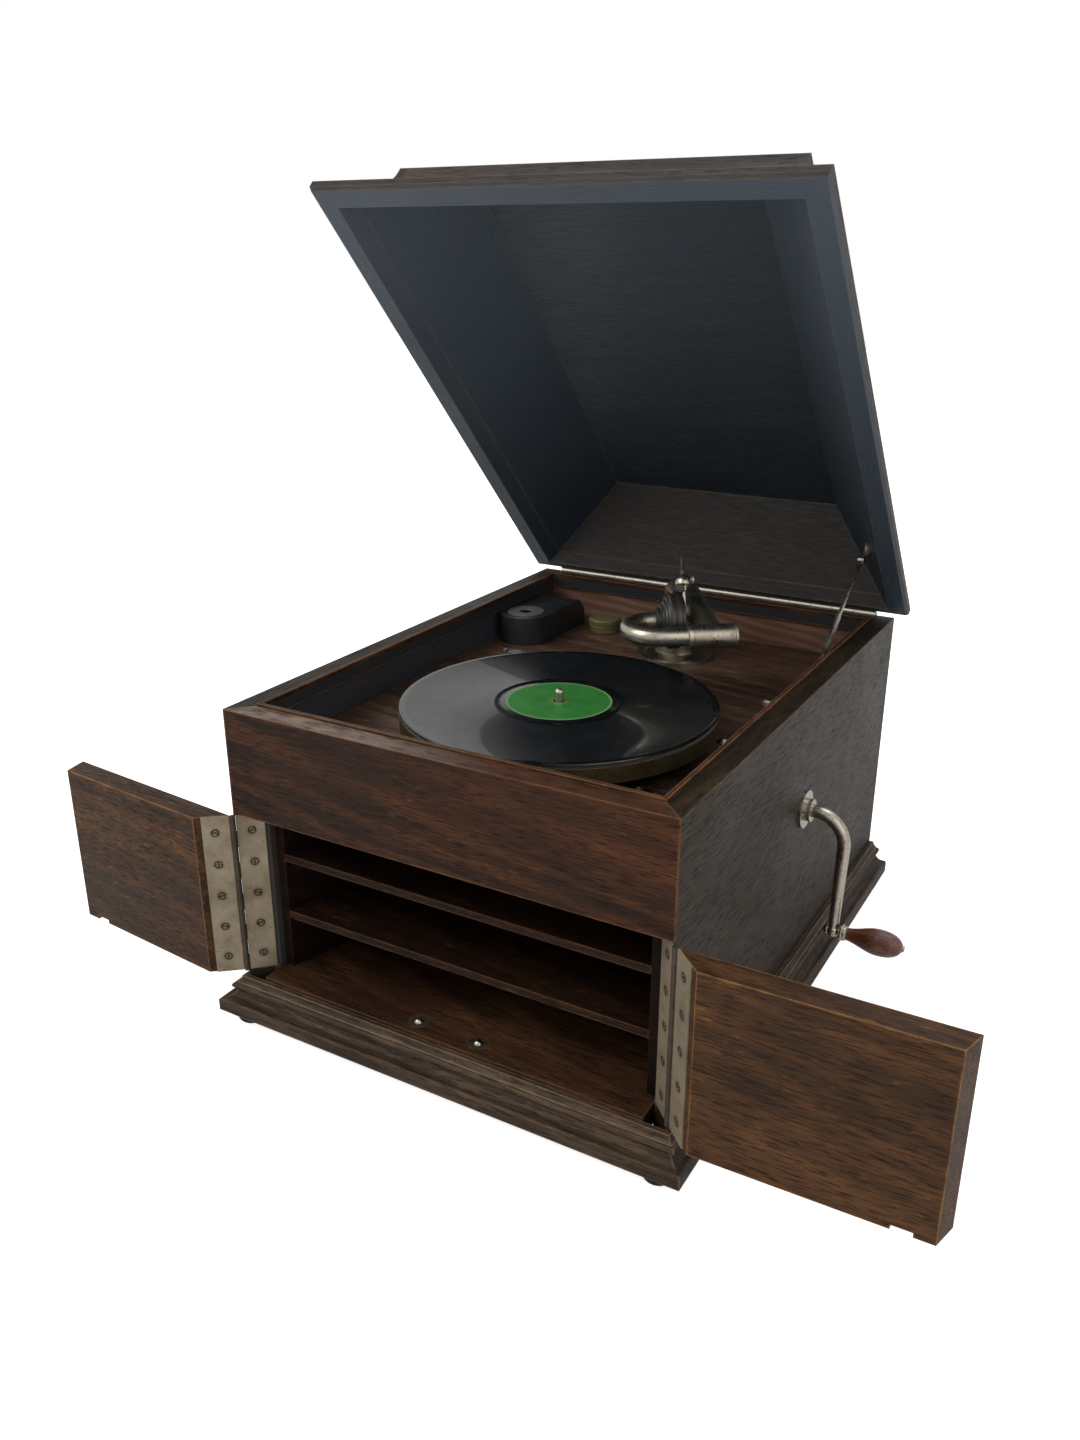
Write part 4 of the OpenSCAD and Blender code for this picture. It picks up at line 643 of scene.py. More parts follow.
@dataclass(frozen=True)
class LabelPaper:
    """The green paper label, with a pale ring at its edge and rubbed wear round the hole."""

    name: str
    base: str
    second: str
    pale: str
    rubbed: str = "8a8062"
    ring_inner: Span = (0.0405, 0.0411)
    ring_outer: Span = (0.0425, 0.0419)
    rubbed_to: Span = (0.0105, 0.0045)

    def build(self) -> Material:
        """Makes the material."""
        g = Graph(self.name)
        radius = g.away(TABLE_AXIS)
        cloud = g.noise(g.place(), 70.0, 5.0, 0.65)
        base = g.shades(g.ramp(cloud, 0.35, 0.7), self.base, self.second)
        rim = g.product(g.ramp(radius, *self.ring_inner), g.ramp(radius, *self.ring_outer))
        base = g.coat(g.product(rim, 0.75), base, self.pale)
        worn = g.ramp(g.noise(g.place(), 400.0, 4.0, 0.7), 0.42, 0.6)
        base = g.coat(g.product(g.ramp(radius, *self.rubbed_to), worn), base, self.rubbed)
        return g.done(base, 0.5, g.relief(g.noise(g.place(), 1600.0, 2.0, 0.5), 0.00004, 0.4))


@dataclass(frozen=True)
class Cloth:
    """Thin woven baize."""

    name: str
    base: str
    second: str
    weave: float = 5200.0

    def build(self) -> Material:
        """Makes the material."""
        g = Graph(self.name)
        x, y, _ = g.parts(g.place())
        warp, weft = (g.maths("SINE", g.product(way, self.weave)) for way in (x, y))
        fuzz = g.noise(g.place(), 900.0, 4.0, 0.7)
        base = g.shades(g.ramp(fuzz, 0.3, 0.7), self.base, self.second)
        height = g.total(g.product(warp, weft), fuzz)
        return g.done(base, 0.95, g.relief(height, 0.00015, 0.6), Sheen_Weight=0.4)


@dataclass(frozen=True)
class Mica:
    """The smoky sheet of the diaphragm."""

    name: str
    base: str
    second: str

    def build(self) -> Material:
        """Makes the material."""
        g = Graph(self.name)
        flakes = g.noise(g.place(), 160.0, 4.0, 0.7)
        base = g.shades(g.ramp(flakes, 0.4, 0.7), self.base, self.second)
        return g.done(base, 0.12, Metallic=0.35, Coat_Weight=0.8)


def finishes() -> Looks:
    """Makes every finish of the object.

    Returns:
        The materials by a plain name.
    """
    makers = {
        # The cool, deep and warm colours below are painted reflection and shade on the inner walls of the box
        # and the lid
        "side": Oak("oak_side", Grain.DEPTH, "1c1610", "3a2f22", "4a3d2e", "6b5a44", wear=0.5, figure=0.6,
                    hollow=Hollow.BOX, cool="383f49", warm="3f3a36", sheen=0.10, polish=0.04),
        # The back is the fascia's oak with painted light on its inner face
        "back": Oak("oak_back", Grain.WIDTH, "20120a", "4a2a18", "643c22", "8a5f3c", hollow=Hollow.BACK,
                    cool="86695a", warm="705343", sheen=0.12, polish=0.06),
        "sill": Oak("oak_sill", Grain.WIDTH, "23160e", "4a3020", "624029", "7a5233"),
        # The fascia's crown colour is a painted highlight on the front rail's top
        "fascia": Oak("oak_fascia", Grain.WIDTH, "20120a", "4a2a18", "643c22", "8a5f3c", wear=0.75,
                      crown_highlight="9c8a7f", sheen=0.12, polish=0.06),
        "door": Oak("oak_door", Grain.WIDTH, "27190f", "533822", "70492a", "a87a48", wear=0.85, sheen=0.12,
                    polish=0.06),
        "moulding": Oak("oak_moulding", Grain.MITRED, "271c15", "504031", "6a5644", "94826c", wear=0.75,
                        sheen=0.14, polish=0.05, shaded=0.75),
        "rail": Oak("oak_rail", Grain.LID_RAILS, "241f1b", "413933", "564d45", "756a5d", wear=0.55,
                    figure=0.7, hollow=Hollow.LID, cool="525d68", deep="2d3a45", warm="343231"),
        "panel": Oak("oak_panel", Grain.LID_WIDTH, "3a322b", "645a50", "7f7466", "93866f", wear=0.5,
                     figure=0.7, hollow=Hollow.LID, cool="434e58", deep="232e37", warm="302e2c"),
        "deck": Oak("oak_deck", Grain.WIDTH, "3a2920", "72584a", "8c6f5c", "a08672", wear=0.5, polish=0.2),
        "bead": Oak("oak_bead", Grain.MITRED, "281a12", "553726", "75503a", "957050", wear=0.8,
                    hollow=Hollow.BOX, cool="2c3138", warm="33302e", sheen=0.10, polish=0.04),
        "horn": Oak("oak_horn", Grain.WIDTH, "150d09", "2c1b12", "3e281a", "7a5233", sheen=0.10, polish=0.04),
        # A darker copy of the horn oak for the parts deep inside the horn: painted shade
        "horn_deep": Oak("oak_horn_painted_shade", Grain.DEPTH, "0c0705", "1c100a", "2a190f", "4a3020", wear=0.3,
                         polish=0.03, sheen=0.06),
        "grip": Oak("oak_grip", Grain.WIDTH, "3a1d10", "6f3a20", "8f5733", "b98f66", wear=0.9, polish=0.6,
                    sheen=0.4, roughness=0.3, ring_scale=60.0, edge=0.004),
        "foot": Oak("oak_foot", Grain.HEIGHT, "18110d", "33261d", "443428", "5d4a3a", wear=0.5),
        "nickel": Plate("plate_nickel", "b3ada0", "857c69", "4c4335", roughness=0.27, cover=0.3),
        "rim": Plate("plate_rim", "8f8467", "6a5c41", "3a2f20", roughness=0.38, cover=0.8),
        "hinge": DoorLeaf("plate_hinge", "9a8f7c", "82745f", "2f2519"),
        # The last colour is the painted highlight on the hinge's knuckles
        "lid_hinge": HingeLine("plate_lid_hinge", "2c2823", "3b352d", "efeae0"),
        "catch": Plate("plate_catch", "8a8272", "5c5242", "3a3124", roughness=0.45, cover=0.8),
        "dark_nickel": Plate("plate_dark", "43433f", "2f2e2a", "1d1b18", roughness=0.40, metallic=0.7),
        "arm": Plate("plate_arm", "a29c8e", "7b7362", "443d30", roughness=0.32, cover=0.45),
        "steel": Plate("plate_steel", "8b8984", "66625a", "3d372e", roughness=0.4, cover=0.6),
        "brass": Plate("plate_brass", "b09550", "7e683a", "4a3a1e", roughness=0.33, cover=0.6),
        "iron": Paint("japanned_iron", "151517", "202022", "3a3530", roughness=0.5, grain=200.0,
                      depth=0.0003),
        "box": Paint("japanned_box", "16191d", "1f2429", "3f4347", roughness=0.45, varnish=0.15, wear=0.5),
        "ring": Paint("worn_ring", "4a4d4f", "5d6163", "85888a", roughness=0.5, wear=0.7),
        "tin": Paint("worn_tin", "57583a", "6e6a45", "95896a", roughness=0.38, wear=0.9, edge=0.0008),
        "shellac": Grooved("grooved_shellac", "0a0c0f", "15181b"),
        "label": LabelPaper("green_label", "27712a", "35823a", "86a877"),
        "cloth": Cloth("baize", "2e2b26", "44403a"),
        "mica": Mica("mica", "4c4d49", "5d5e59"),
    }
    return {name: maker.build() for name, maker in makers.items()}


FINISH_NODES: dict[str, str] = {
    "side": "side_panel_left side_panel_right",
    "back": "back_panel",
    "fascia": "front_fascia",
    "sill": "base_board",
    "moulding": "base_moulding",
    "foot": "bun_feet door_knob_left door_knob_right",
    "bead": "rim_bead",
    "deck": "motor_board",
    "horn_deep": "board_cleats horn_cheeks horn_top_board",
    "horn": "horn_slats",
    "iron": "horn_elbow",
    "hinge": "cabinet_door_leaves door_leaf_left door_leaf_right door_hinge_pins",
    "catch": "catch_plates",
    "lid_hinge": "lid_leaf_cabinet lid_leaf lid_hinge_pin",
    "door": "door_left door_right",
    "rail": "lid_rim lid_cove",
    "panel": "lid_panel",
    "nickel": ("catch_ball_left catch_ball_right stay_bracket lid_stay crank_escutcheon crank_rod "
              "gooseneck motor_bolts speed_lever turntable_spindle"),
    "dark_nickel": "stay_guide speed_plate",
    "box": "needle_box",
    "ring": "needle_box_ring",
    "arm": "tonearm_base tonearm_tube",
    "rim": "platter",
    "cloth": "platter_mat",
    "steel": "brake_lever motor_plate motor_lower_plate motor_pillars spring_barrel winding_gear",
    "brass": "intermediate_wheel governor",
}


def dress_nodes(nodes: dict[str, bpy.types.Object], looks: Looks) -> None:
    """Puts a finish on each node that stays as it is.

    Args:
        nodes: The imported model's objects by node name.
        looks: The finishes by name.
    """
    for finish, names in FINISH_NODES.items():
        for name in names.split():
            if name not in nodes:
                log.warning("no node called %s", name)
                continue
            for slot in nodes[name].material_slots:
                slot.material = looks[finish]


def in_scene(name: str, data: bpy.types.ID) -> bpy.types.Object:
    """Puts mesh, lamp or camera data into the scene.

    Args:
        name: The object's name.
        data: What it shows.

    Returns:
        The object.
    """
    made = bpy.data.objects.new(name, data)
    bpy.context.scene.collection.objects.link(made)
    return made


def finished(name: str, mesh: bmesh.types.BMesh, look: Material, smooth: float) -> bpy.types.Object:
    """Turns mesh data into an object whose place is in its vertices.

    Args:
        name: The piece's name.
        mesh: Its faces, which are used up.
        look: Its material.
        smooth: The angle in degrees under which edges shade smoothly.

    Returns:
        The object, in the scene.
    """
    bmesh.ops.remove_doubles(mesh, verts=mesh.verts, dist=WELD)
    bmesh.ops.recalc_face_normals(mesh, faces=mesh.faces)
    for face in mesh.faces:
        face.smooth = True
    for edge in mesh.edges:
        edge.smooth = len(edge.link_faces) == 2 and edge.calc_face_angle(math.pi) < math.radians(smooth)
    data = bpy.data.meshes.new(name)
    mesh.to_mesh(data)
    mesh.free()
    data.materials.append(look)
    return in_scene(name, data)


def steps(radius: float, height: float, *past: Point) -> list[Point]:
    """Gives the points of a turned profile.

    Args:
        radius: The radius that they are measured from, in metres.
        height: The height that they are measured from, in metres.
        past: How far out and up each one lies from there, in millimetres.

    Returns:
        The radius and height of each point, in metres.
    """
    return [(radius + out / MM_PER_METRE, height + up / MM_PER_METRE) for out, up in past]


def arm_place() -> Matrix:
    """Returns the frame of the cross head: X across, Y back along the arm, Z up."""
    x = ARM_PIVOT[0] + ARM_LENGTH * math.sin(ARM_TURN)
    y = ARM_PIVOT[1] - ARM_LENGTH * math.cos(ARM_TURN)
    return Matrix.Translation((x, y, HEAD_HEIGHT)) @ Matrix.Rotation(ARM_TURN, 4, "Z")


class RingPattern:
    """A Geometry Nodes tree that sets the same small part at even steps round a circle."""

    INPUTS = (("Count", "Int", 6), ("Radius", "Float", 0.02), ("Part Length", "Float", 0.002),
              ("Part Width", "Float", 0.001), ("Part Height", "Float", 0.001), ("Round", "Bool", False),
              ("Finish", "Material", None))

    def __init__(self, name: str) -> None:
        """Builds the tree.

        Args:
            name: The tree's name.
        """
        self.tree = bpy.data.node_groups.new(name, "GeometryNodeTree")
        self.inputs: dict[str, str] = {}
        face = self.tree.interface
        for label, kind, value in self.INPUTS:
            socket = face.new_socket(name=label, in_out="INPUT", socket_type="NodeSocket" + kind)
            if value is not None:
                socket.default_value = value
            self.inputs[label] = socket.identifier
        face.new_socket(name="Geometry", in_out="OUTPUT", socket_type="NodeSocketGeometry")
        self._wire()

    def _wire(self) -> None:
        """Adds and joins the nodes."""
        t = Tree(self.tree)
        given = t.node("NodeGroupInput").outputs
        circle = t.node("GeometryNodeMeshCircle", {"Vertices": given["Count"], "Radius": given["Radius"]})
        size = t.node("ShaderNodeCombineXYZ",
                      {0: given["Part Length"], 1: given["Part Width"], 2: given["Part Height"]})
        bar = t.node("GeometryNodeMeshCube", {"Size": size.outputs[0]})
        half = t.node("ShaderNodeMath", {0: given["Part Width"], 1: 0.5}, operation="MULTIPLY")
        stud = t.node("GeometryNodeMeshCylinder",
                      {"Vertices": 20, "Radius": half.outputs[0], "Depth": given["Part Height"]})
        pick = t.node("GeometryNodeSwitch", {"Switch": given["Round"], "False": bar.outputs["Mesh"],
                                             "True": stud.outputs["Mesh"]}, input_type="GEOMETRY")
        outward = t.node("FunctionNodeAlignEulerToVector",
                         {"Vector": t.node("GeometryNodeInputPosition").outputs[0]}, axis="X")
        spread = t.node("GeometryNodeInstanceOnPoints", {"Points": circle.outputs["Mesh"],
                                                         "Instance": pick.outputs[0],
                                                         "Rotation": outward.outputs[0]})
        real = t.node("GeometryNodeRealizeInstances", {0: spread.outputs[0]})
        painted = t.node("GeometryNodeSetMaterial",
                         {"Geometry": real.outputs[0], "Material": given["Finish"]})
        t.node("NodeGroupOutput", {0: painted.outputs[0]})

    def make(self, name: str, place: Matrix, look: Material, **sizes: object) -> bpy.types.Object:
        """Makes one ring of parts as a plain mesh.

        Args:
            name: The piece's name.
            place: Where the ring's frame goes.
            look: Its material.
            sizes: The tree's inputs, with underscores for spaces.

        Returns:
            The object.
        """
        holder = in_scene(name + "_tree", bpy.data.meshes.new(name + "_tree"))
        modifier = holder.modifiers.new("ring", "NODES")
        modifier.node_group = self.tree
        modifier[self.inputs["Finish"]] = look
        for label, value in sizes.items():
            modifier[self.inputs[label.replace("_", " ")]] = value
        graph = bpy.context.evaluated_depsgraph_get()
        data = bpy.data.meshes.new_from_object(holder.evaluated_get(graph))
        holder.modifiers.remove(modifier)
        bpy.data.objects.remove(holder)
        data.name = name
        data.transform(place)
        data.materials.clear()
        data.materials.append(look)
        return in_scene(name, data)


@dataclass
class Part:
    """A group of finished pieces that move with one body.

    Its fields are the finishes and the tree that sets parts round a circle.
    """

    looks: Looks
    ring: RingPattern
    body: ClassVar[str] = "cabinet"

    def fit(self, piece: bpy.types.Object, look: str, *nodes: str) -> None:
        """Says which body a piece rides on and which nodes it stands for.

        Args:
            piece: The finished piece.
            look: Its finish; not used.
            nodes: The nodes that it replaces, if any.
        """
        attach(piece, self.body)
        if nodes:
            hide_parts(*nodes)
        log.info("made %s on %s, %d faces", piece.name, self.body, len(piece.data.polygons))

    def lathe(self, name: str, profile: Sequence[Point], look: str, place: Matrix, segments: int, *nodes: str,
              closed: bool = False) -> None:
        """Turns a profile round its own Z axis and fits the piece.

        Args:
            name: The piece's name.
            profile: Radius and height of each point, in metres.
            look: Its finish.
            place: Where the lathe's frame goes.
            segments: Number of steps round.
            nodes: The nodes that it replaces, if any.
            closed: Whether the profile's ends are joined, as on a ring.
        """
        mesh = bmesh.new()
        turns = [2 * math.pi * i / segments for i in range(segments)]
        rings = [[mesh.verts.new((0, 0, height))] if radius < ON_AXIS else
                 [mesh.verts.new((radius * math.cos(a), radius * math.sin(a), height)) for a in turns]
                 for radius, height in profile]
        pairs = list(zip(rings, rings[1:]))
        if closed:
            pairs.append((rings[-1], rings[0]))
        for low, high in pairs:
            for i in range(segments):
                j = (i + 1) % segments
                corners = [low[i % len(low)], low[j % len(low)], high[j % len(high)], high[i % len(high)]]
                unique = list(dict.fromkeys(corners))
                if len(unique) > 2:
                    mesh.faces.new(unique)
        bmesh.ops.transform(mesh, matrix=place, verts=mesh.verts)
        self.fit(finished(name, mesh, self.looks[look], TURNED_SMOOTH), look, *nodes)

    def circle(self, name: str, look: str, place: Matrix, up: Place, **sizes: object) -> None:
        """Makes a ring of small parts and fits it.

        Args:
            name: The piece's name.
            look: Its finish.
            place: The frame that it stands in.
            up: Where its centre lies in that frame.
            sizes: The tree's inputs, with underscores for spaces.
        """
        self.fit(self.ring.make(name, place @ Matrix.Translation(up), self.looks[look], **sizes), look)

    def block(self, name: str, low: Place, high: Place, look: str, place: Matrix, bevel: float, *nodes: str,
              taper: float = 1.0) -> None:
        """Makes a block with rounded edges and fits it.

        Args:
            name: The piece's name.
            low: Its lowest corner in its own frame.
            high: Its highest corner in its own frame.
            look: Its finish.
            place: Where its frame goes.
            bevel: Radius of its edges.
            nodes: The nodes that it replaces, if any.
            taper: Width at the high Y end as a share of that at the low one.
        """
        mesh = bmesh.new()
        bmesh.ops.create_cube(mesh, size=1.0)
        size, middle = Vector(high) - Vector(low), (Vector(high) + Vector(low)) / 2
        for vert in mesh.verts:
            share = taper if vert.co.y > 0 else 1.0
            vert.co = Vector((vert.co.x * size.x, vert.co.y * size.y, vert.co.z * size.z * share)) + middle
        bmesh.ops.bevel(mesh, geom=list(mesh.edges), offset=bevel, segments=BEVEL_STEPS, affect="EDGES")
        bmesh.ops.transform(mesh, matrix=place, verts=mesh.verts)
        self.fit(finished(name, mesh, self.looks[look], PLAIN_SMOOTH), look, *nodes)


@dataclass
class Record(Part):
    """The ten-inch record with its label."""

    body: ClassVar[str] = "turntable"
    radius: float = 0.127
    base: float = 0.266
    thickness: float = 0.002
    hole: float = 0.0037
    label_radius: float = 0.0425
    label_hole: float = 0.0046

    def build(self) -> None:
        """Makes the disc and the label."""
        place = Matrix.Translation((*TABLE_AXIS, self.base))
        top = self.thickness
        profile = [(self.hole, 0.0), *steps(self.radius, 0.0, (-1.2, 0), (-0.4, 0.3), (0, 0.9)),
                   *steps(self.radius, top, (-0.3, -0.3), (-1.4, 0), (-4.2, -0.1), (-5.5, -0.4)),
                   *steps(0.0, top, (53.0, -0.4), (51.5, -0.1), (50.0, -0.4), (45.0, -0.4), (43.8, -0.05)),
                   *steps(self.hole, top, (0.4, -0.05), (0, -0.4))]
        self.lathe("record_disc", profile, "shellac", place, 256, "record", closed=True)
        under, over = steps(0.0, top, (0, -0.08), (0, 0.06))
        paper = [(self.label_hole, under[1]), (self.label_radius, under[1]), (self.label_radius, over[1]),
                 (self.label_hole, over[1])]
        self.lathe("record_label", paper, "label", place, 128, closed=True)


@dataclass
class SoundBox(Part):
    """The sound box: stepped back, rubber seat, outer ring, bezel with screws and the diaphragm."""

    body: ClassVar[str] = "soundbox_arm"
    radius: float = 0.024
    back: float = -0.041
    front: float = -0.018

    def build(self) -> None:
        """Makes the turned shell, the diaphragm and its screws."""
        axis = arm_place() @ Matrix.Translation((0, NECK_OFFSET, 0)) @ Matrix.Rotation(RIGHT_ANGLE, 4, "Y")
        r, b, f = self.radius, self.back, self.front
        shell = [*steps(0.0, b, (0, 0), (10.8, 0), (11.6, 0.8), (11.6, 3.6), (13.8, 4.2), (14.2, 5.6),
                        (17.5, 6.4), (18.2, 7.8), (21.2, 8.4), (22.0, 9.6)),
                 *steps(r, b, (-0.6, 10.2), (0, 10.8), (0, 13.4), (-1.0, 14.0), (-1.0, 15.0), (0, 15.6)),
                 *steps(r, f, (0, -3.6), (-0.8, -3.0), (-1.7, -2.6), (-1.7, -0.8), (-2.5, 0), (-5.6, 0),
                        (-6.2, -0.6), (-6.2, -4.0)), (0.0, f - 0.0040)]
        self.lathe("sound_box_shell", shell, "dark_nickel", axis, 96, "sound_box")
        gasket = steps(r, f, (-10.0, -4.0), (-6.2, -4.0), (-6.2, -2.4), (-7.8, -1.8), (-9.2, -2.4))
        self.lathe("diaphragm_gasket", gasket, "box", axis, 96, closed=True)
        sheet = [(0.0, f - 0.0039), *steps(r, f, (-9.0, -3.9), (-9.0, -3.3)), (0.0, f - 0.0033)]
        self.lathe("diaphragm", sheet, "mica", axis, 96)
        self.circle("bezel_screws", "nickel", axis, (0, 0, f - 0.0002), Count=6, Radius=r - 0.0040,
                    Part_Width=0.0024, Part_Height=0.0008, Round=True)


@dataclass
class NeedleBar(Part):
    """The rocking bar with its pivot block, chuck, knurled thumb screw and needle."""

    body: ClassVar[str] = "soundbox_arm"
    reach: float = 0.058
    box_radius: float = 0.024
    front: float = -0.018

    def build(self) -> None:
        """Makes the bar's pieces."""
        place = arm_place() @ Matrix.Translation((0, NECK_OFFSET, 0)) @ Matrix.Rotation(NEEDLE_LIFT, 4, "X")
        x, r, f, tip = self.front + 0.003, self.box_radius, self.front, self.reach
        self.block("needle_arm", (x - 0.0014, 0.0012, -0.0012), (x + 0.0010, r + 0.008, 0.0012), "nickel",
                   place, 0.0005, "needle", taper=1.6)
        self.block("needle_arm_foot", (f - 0.0034, 0.0012, -0.0012), (x - 0.0004, 0.0040, 0.0012), "nickel",
                   place, 0.0004)
        self.block("needle_pivot", (f - 0.0058, r + 0.0003, -0.0064), (x - 0.0002, r + 0.0068, 0.0064),
                   "dark_nickel", place, 0.0009)
        self.block("needle_spring", (x - 0.0002, r + 0.0012, -0.0058), (x + 0.0012, r + 0.0058, 0.0058),
                   "nickel", place, 0.0004)
        forward = place @ Matrix.Translation((x, 0, 0)) @ Matrix.Rotation(-RIGHT_ANGLE, 4, "X")
        chuck = steps(0.0, r, (0, 6.4), (6.2, 6.4), (7.0, 7.2), (7.1, 9.2), (6.8, 11.2), (5.9, 13.4),
                      (4.4, 15.2), (2.6, 16.3), (0, 16.6))
        self.lathe("needle_chuck", chuck, "nickel", forward, 40)
        needle = [*steps(0.0, r, (0, 15.0), (2.6, 15.0), (2.5, 20.5), (1.6, 21.8)),
                  *steps(0.0, tip, (1.3, -7.0), (0.8, -2.4), (0.15, 0), (0, 0))]
        self.lathe("steel_needle", needle, "dark_nickel", forward, 24)
        self.circle("needle_pivot_screws", "box", place, (x - 0.0045, r + 0.0034, 0.0064), Count=4,
                    Radius=0.0030, Part_Width=0.0021, Part_Height=0.0010, Round=True)
        across = place @ Matrix.Translation((x, r + 0.012, 0)) @ Matrix.Rotation(RIGHT_ANGLE, 4, "Y")
        screw = steps(0.0, 0.0, (0, 4.0), (1.5, 4.0), (1.5, 6.8), (2.6, 7.1), (2.8, 7.6), (2.8, 9.2),
                      (2.4, 9.7), (0, 9.9))
        self.lathe("thumb_screw", screw, "nickel", across, 40)
        self.circle("thumb_screw_knurls", "nickel", across, (0, 0, 0.0084), Count=24, Radius=0.0028,
                    Part_Length=0.0005, Part_Width=0.00035, Part_Height=0.0016, Round=False)


@dataclass
class CrankGrip(Part):
    """The turned wooden grip with its metal ferrule."""

    body: ClassVar[str] = "grip"
    axis: Place = (0.226, 0.010, 0.175)
    arm: float = 0.099
    lean: float = math.radians(6.0)
    start: float = 0.006
    length: float = 0.052
    radius: float = 0.011
    neck: float = 0.0050
    widest: float = 0.6
    tip_power: float = 2.4
    swell_start: float = 0.0030
    swell_short: float = 0.0034
    rings: int = 50

    def build(self) -> None:
        """Makes the grip and the ferrule."""
        place = (Matrix.Translation(self.axis) @ Matrix.Rotation(-self.lean, 4, "X")
                 @ Matrix.Translation((self.start, 0, -self.arm)) @ Matrix.Rotation(RIGHT_ANGLE, 4, "Y"))
        n, r = self.length, self.radius
        wood = steps(0.0, 0.0, (2.7, 5.2), (4.8, 5.2), (5.2, 6.2))
        for i in range(5, self.rings):
            t = i / self.rings
            if t < self.widest:
                swell = self.neck + (r - self.neck) * (0.5 - 0.5 * math.cos(t / self.widest * math.pi))
            else:
                swell = r * math.sqrt(1 - ((t - self.widest) / (1 - self.widest)) ** self.tip_power)
            wood.append((swell, self.swell_start + (n - self.swell_short) * t))
        wood += steps(0.0, n, (2.7, -0.6))
        self.lathe("crank_handle", wood, "grip", place, 64, "crank_grip", closed=True)
        ferrule = steps(0.0, 0.0, (2.8, 0), (6.0, 0), (6.9, 0.6), (7.0, 1.8), (6.4, 2.4), (5.8, 2.8),
                        (6.2, 3.4), (6.1, 4.6), (5.3, 5.4), (2.8, 5.4))
        self.lathe("crank_ferrule", ferrule, "nickel", place, 48, closed=True)
        cap = steps(0.0, n, (0, -1.2), (2.6, -1.2), (2.6, -0.3), (0, 0))
        self.lathe("crank_rivet", cap, "nickel", place, 32)


@dataclass
class NeedleTin(Part):
    """The round tin with a ribbed, slightly domed lid."""

    foot: Place = (-0.0885, 0.192, 0.236)
    radius: float = 0.0165
    height: float = 0.015

    def build(self) -> None:
        """Makes the tin and the ribs round it."""
        place = Matrix.Translation(self.foot)
        r, h = self.radius, self.height
        shell = [(0.0, 0.0), *steps(r, 0.0, (-1.8, 0), (-1.2, 0.6), (-1.2, 5.8), (-0.4, 6.2), (-0.2, 7.0),
                                    (-1.2, 7.6), (-1.2, 8.0), (-0.6, 8.4)),
                 *steps(r, h, (-0.6, -2.2), (-1.4, -1.2), (-3.4, -0.8), (-4.4, -1.4), (-6.0, -1.2)),
                 (0.0, h - 0.0002)]
        self.lathe("needle_tin_shell", shell, "tin", place, 72, "needle_tin")
        self.circle("needle_tin_ribs", "tin", place, (0, 0, h - 0.0042), Count=44, Radius=r - 0.0006,
                    Part_Length=0.0010, Part_Width=0.0011, Part_Height=0.0034, Round=False)


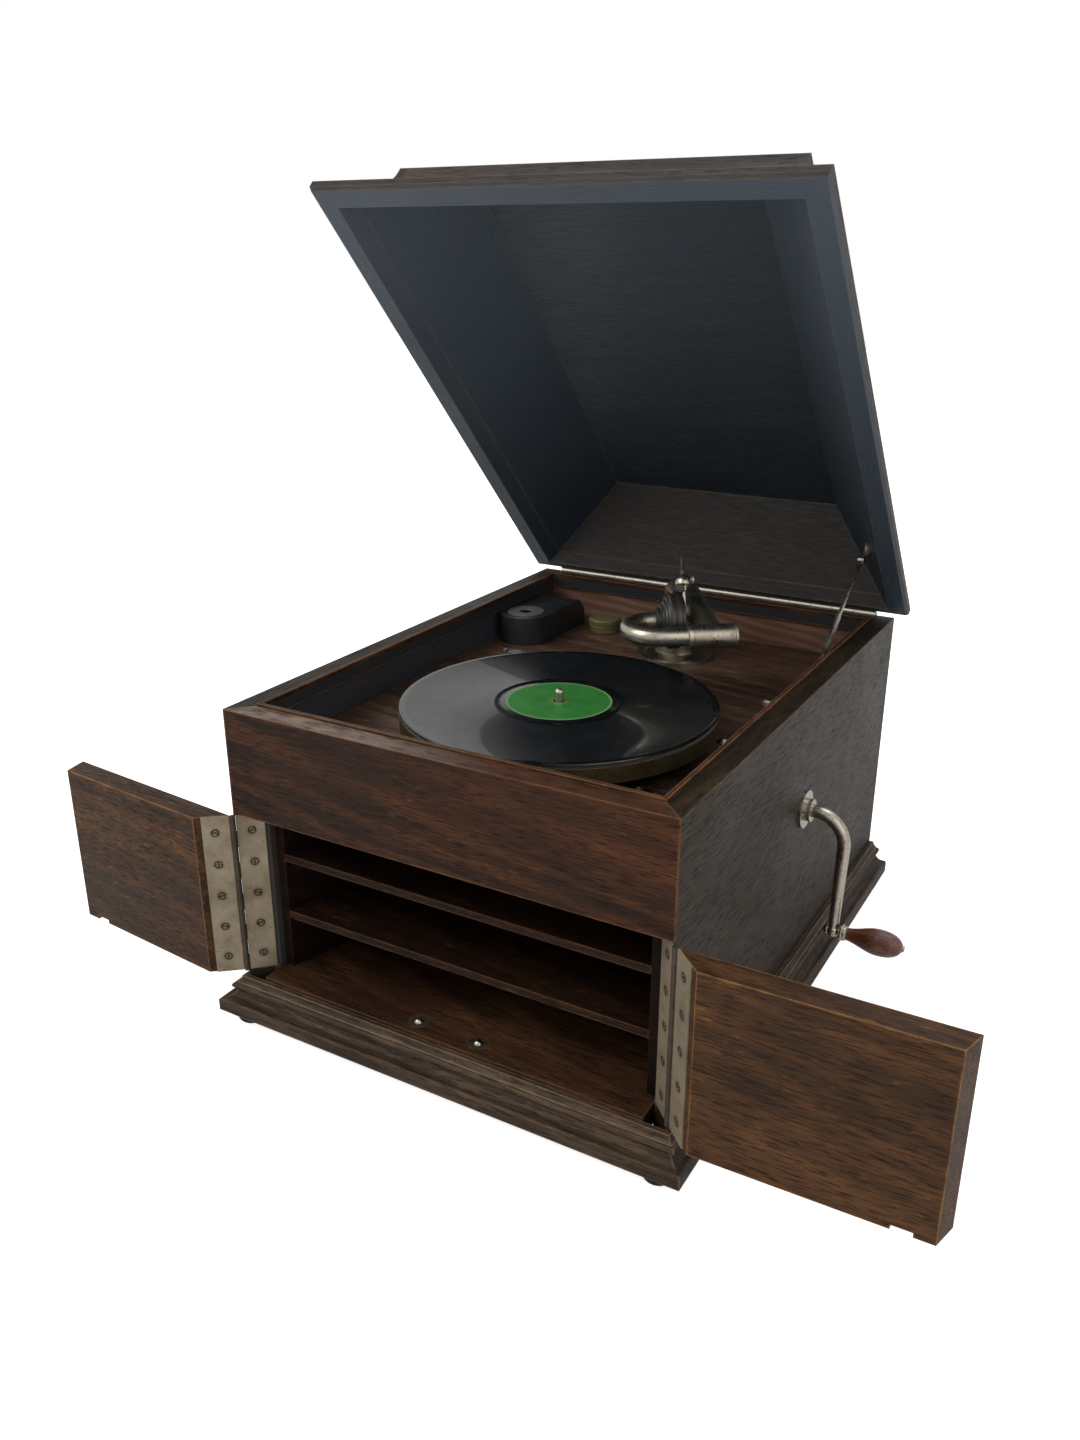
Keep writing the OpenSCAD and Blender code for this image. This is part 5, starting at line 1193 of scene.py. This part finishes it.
@dataclass
class Studio:
    """The floor, the lamps and the camera."""

    azimuth: float = math.radians(30.02)
    elevation: float = math.radians(21.36)
    position: Place = (0.4476, -0.8703, 0.6036)
    focal_px: float = 1202.2
    centre_px: Point = (539.4, 717.8)
    frame_px: tuple[int, int] = (1080, 1440)
    sensor: float = 36.0
    surround: Colour = (1.0, 0.985, 0.965, 1)
    surround_strength: float = 0.62
    glossy_share: float = 0.30
    floor_half: float = 7.0
    floor_height: float = -0.0002
    floor_grey: Colour = (0.86, 0.86, 0.86, 1)
    floor_roughness: float = 0.9
    floor_lift: float = 0.8
    clip: Span = (0.02, 30.0)

    def camera(self) -> None:
        """Places the camera as the photo was taken."""
        az, el = self.azimuth, self.elevation
        back = Vector((math.sin(az) * math.cos(el), -math.cos(az) * math.cos(el), math.sin(el)))
        right = Vector((math.cos(az), math.sin(az), 0.0))
        turn = Matrix((right, back.cross(right), back)).transposed().to_4x4()
        data = bpy.data.cameras.new("camera")
        data.sensor_fit = "VERTICAL"
        data.sensor_height = self.sensor
        data.lens = self.focal_px * self.sensor / self.frame_px[1]
        data.shift_x = (self.frame_px[0] / 2 - self.centre_px[0]) / self.frame_px[1]
        data.shift_y = (self.centre_px[1] - self.frame_px[1] / 2) / self.frame_px[1]
        data.clip_start, data.clip_end = self.clip
        made = in_scene("camera", data)
        made.matrix_world = Matrix.Translation(self.position) @ turn
        bpy.context.scene.camera = made

    def lamp(self, name: str, place: Place, aim: Place, size: float, power: float, tint: str) -> None:
        """Hangs one soft square lamp.

        Args:
            name: The lamp's name.
            place: Where it hangs.
            aim: The point that it faces.
            size: Its side in metres.
            power: Its power in watts.
            tint: Its colour.
        """
        data = bpy.data.lights.new(name, "AREA")
        data.shape = "SQUARE"
        data.size = size
        data.energy = power
        data.color = colour(tint)[:3]
        made = in_scene(name, data)
        made.location = place
        made.rotation_euler = (Vector(aim) - Vector(place)).to_track_quat("-Z", "Y").to_euler()

    def world(self) -> None:
        """Sets a surround that is white to the camera and lights the object gently."""
        world = bpy.data.worlds.new("surround")
        world.use_nodes = True
        t = Tree(world.node_tree)
        seen = t.node("ShaderNodeBackground", {"Color": WHITE, "Strength": 1.0})
        soft = t.node("ShaderNodeBackground", {"Color": self.surround, "Strength": self.surround_strength})
        path = t.node("ShaderNodeLightPath").outputs
        direct = t.node("ShaderNodeMath", {0: path["Is Camera Ray"], 1: path["Is Transmission Ray"]},
                        operation="MAXIMUM")
        white = t.node("ShaderNodeMath", {0: path["Is Glossy Ray"], 1: self.glossy_share,
                                          2: direct.outputs[0]}, operation="MULTIPLY_ADD")
        mix = t.node("ShaderNodeMixShader", {0: white.outputs[0], 1: soft.outputs[0], 2: seen.outputs[0]})
        t.node("ShaderNodeOutputWorld", {"Surface": mix.outputs[0]})
        bpy.context.scene.world = world

    def floor(self) -> None:
        """Lays the pale floor, white to the camera but still taking the shadow."""
        mesh = bmesh.new()
        bmesh.ops.create_grid(mesh, x_segments=2, y_segments=2, size=self.floor_half)
        for vert in mesh.verts:
            vert.co.z = self.floor_height
        g = Graph("floor")
        g.done(self.floor_grey, self.floor_roughness)
        seen = g.node("ShaderNodeLightPath").outputs["Is Camera Ray"]
        lift = g.node("ShaderNodeEmission", {"Color": WHITE, "Strength": g.product(seen, self.floor_lift)})
        both = g.node("ShaderNodeAddShader", {0: g.surface.outputs["BSDF"], 1: lift.outputs["Emission"]})
        g.feed(g.output.inputs["Surface"], both.outputs["Shader"])
        finished("floor", mesh, g.material, PLAIN_SMOOTH)

    def build(self) -> None:
        """Sets up the whole studio."""
        bpy.context.scene.view_settings.view_transform = "Standard"
        self.camera()
        self.world()
        self.floor()
        self.lamp("key", (-1.3, -1.5, 2.3), (0, 0, 0.2), 1.8, 34.0, "fffaf2")
        self.lamp("fill", (1.9, -0.9, 1.5), (0, 0, 0.2), 1.6, 8.5, "fff4e8")
        self.lamp("top", (0.3, 0.9, 2.4), (0, 0, 0.25), 1.4, 14.0, "f4f8ff")


def main() -> None:
    """Builds every part of the scene in order."""
    logging.basicConfig(level=logging.INFO, format="%(message)s")
    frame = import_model()
    Studio().build()
    looks = finishes()
    dress_nodes(frame["nodes"], looks)
    ring = RingPattern("ring_of_parts")
    for group in (Record, SoundBox, NeedleBar, CrankGrip, NeedleTin):
        group(looks, ring).build()
    log.info("boxes written")


if __name__ == "__main__":
    main()
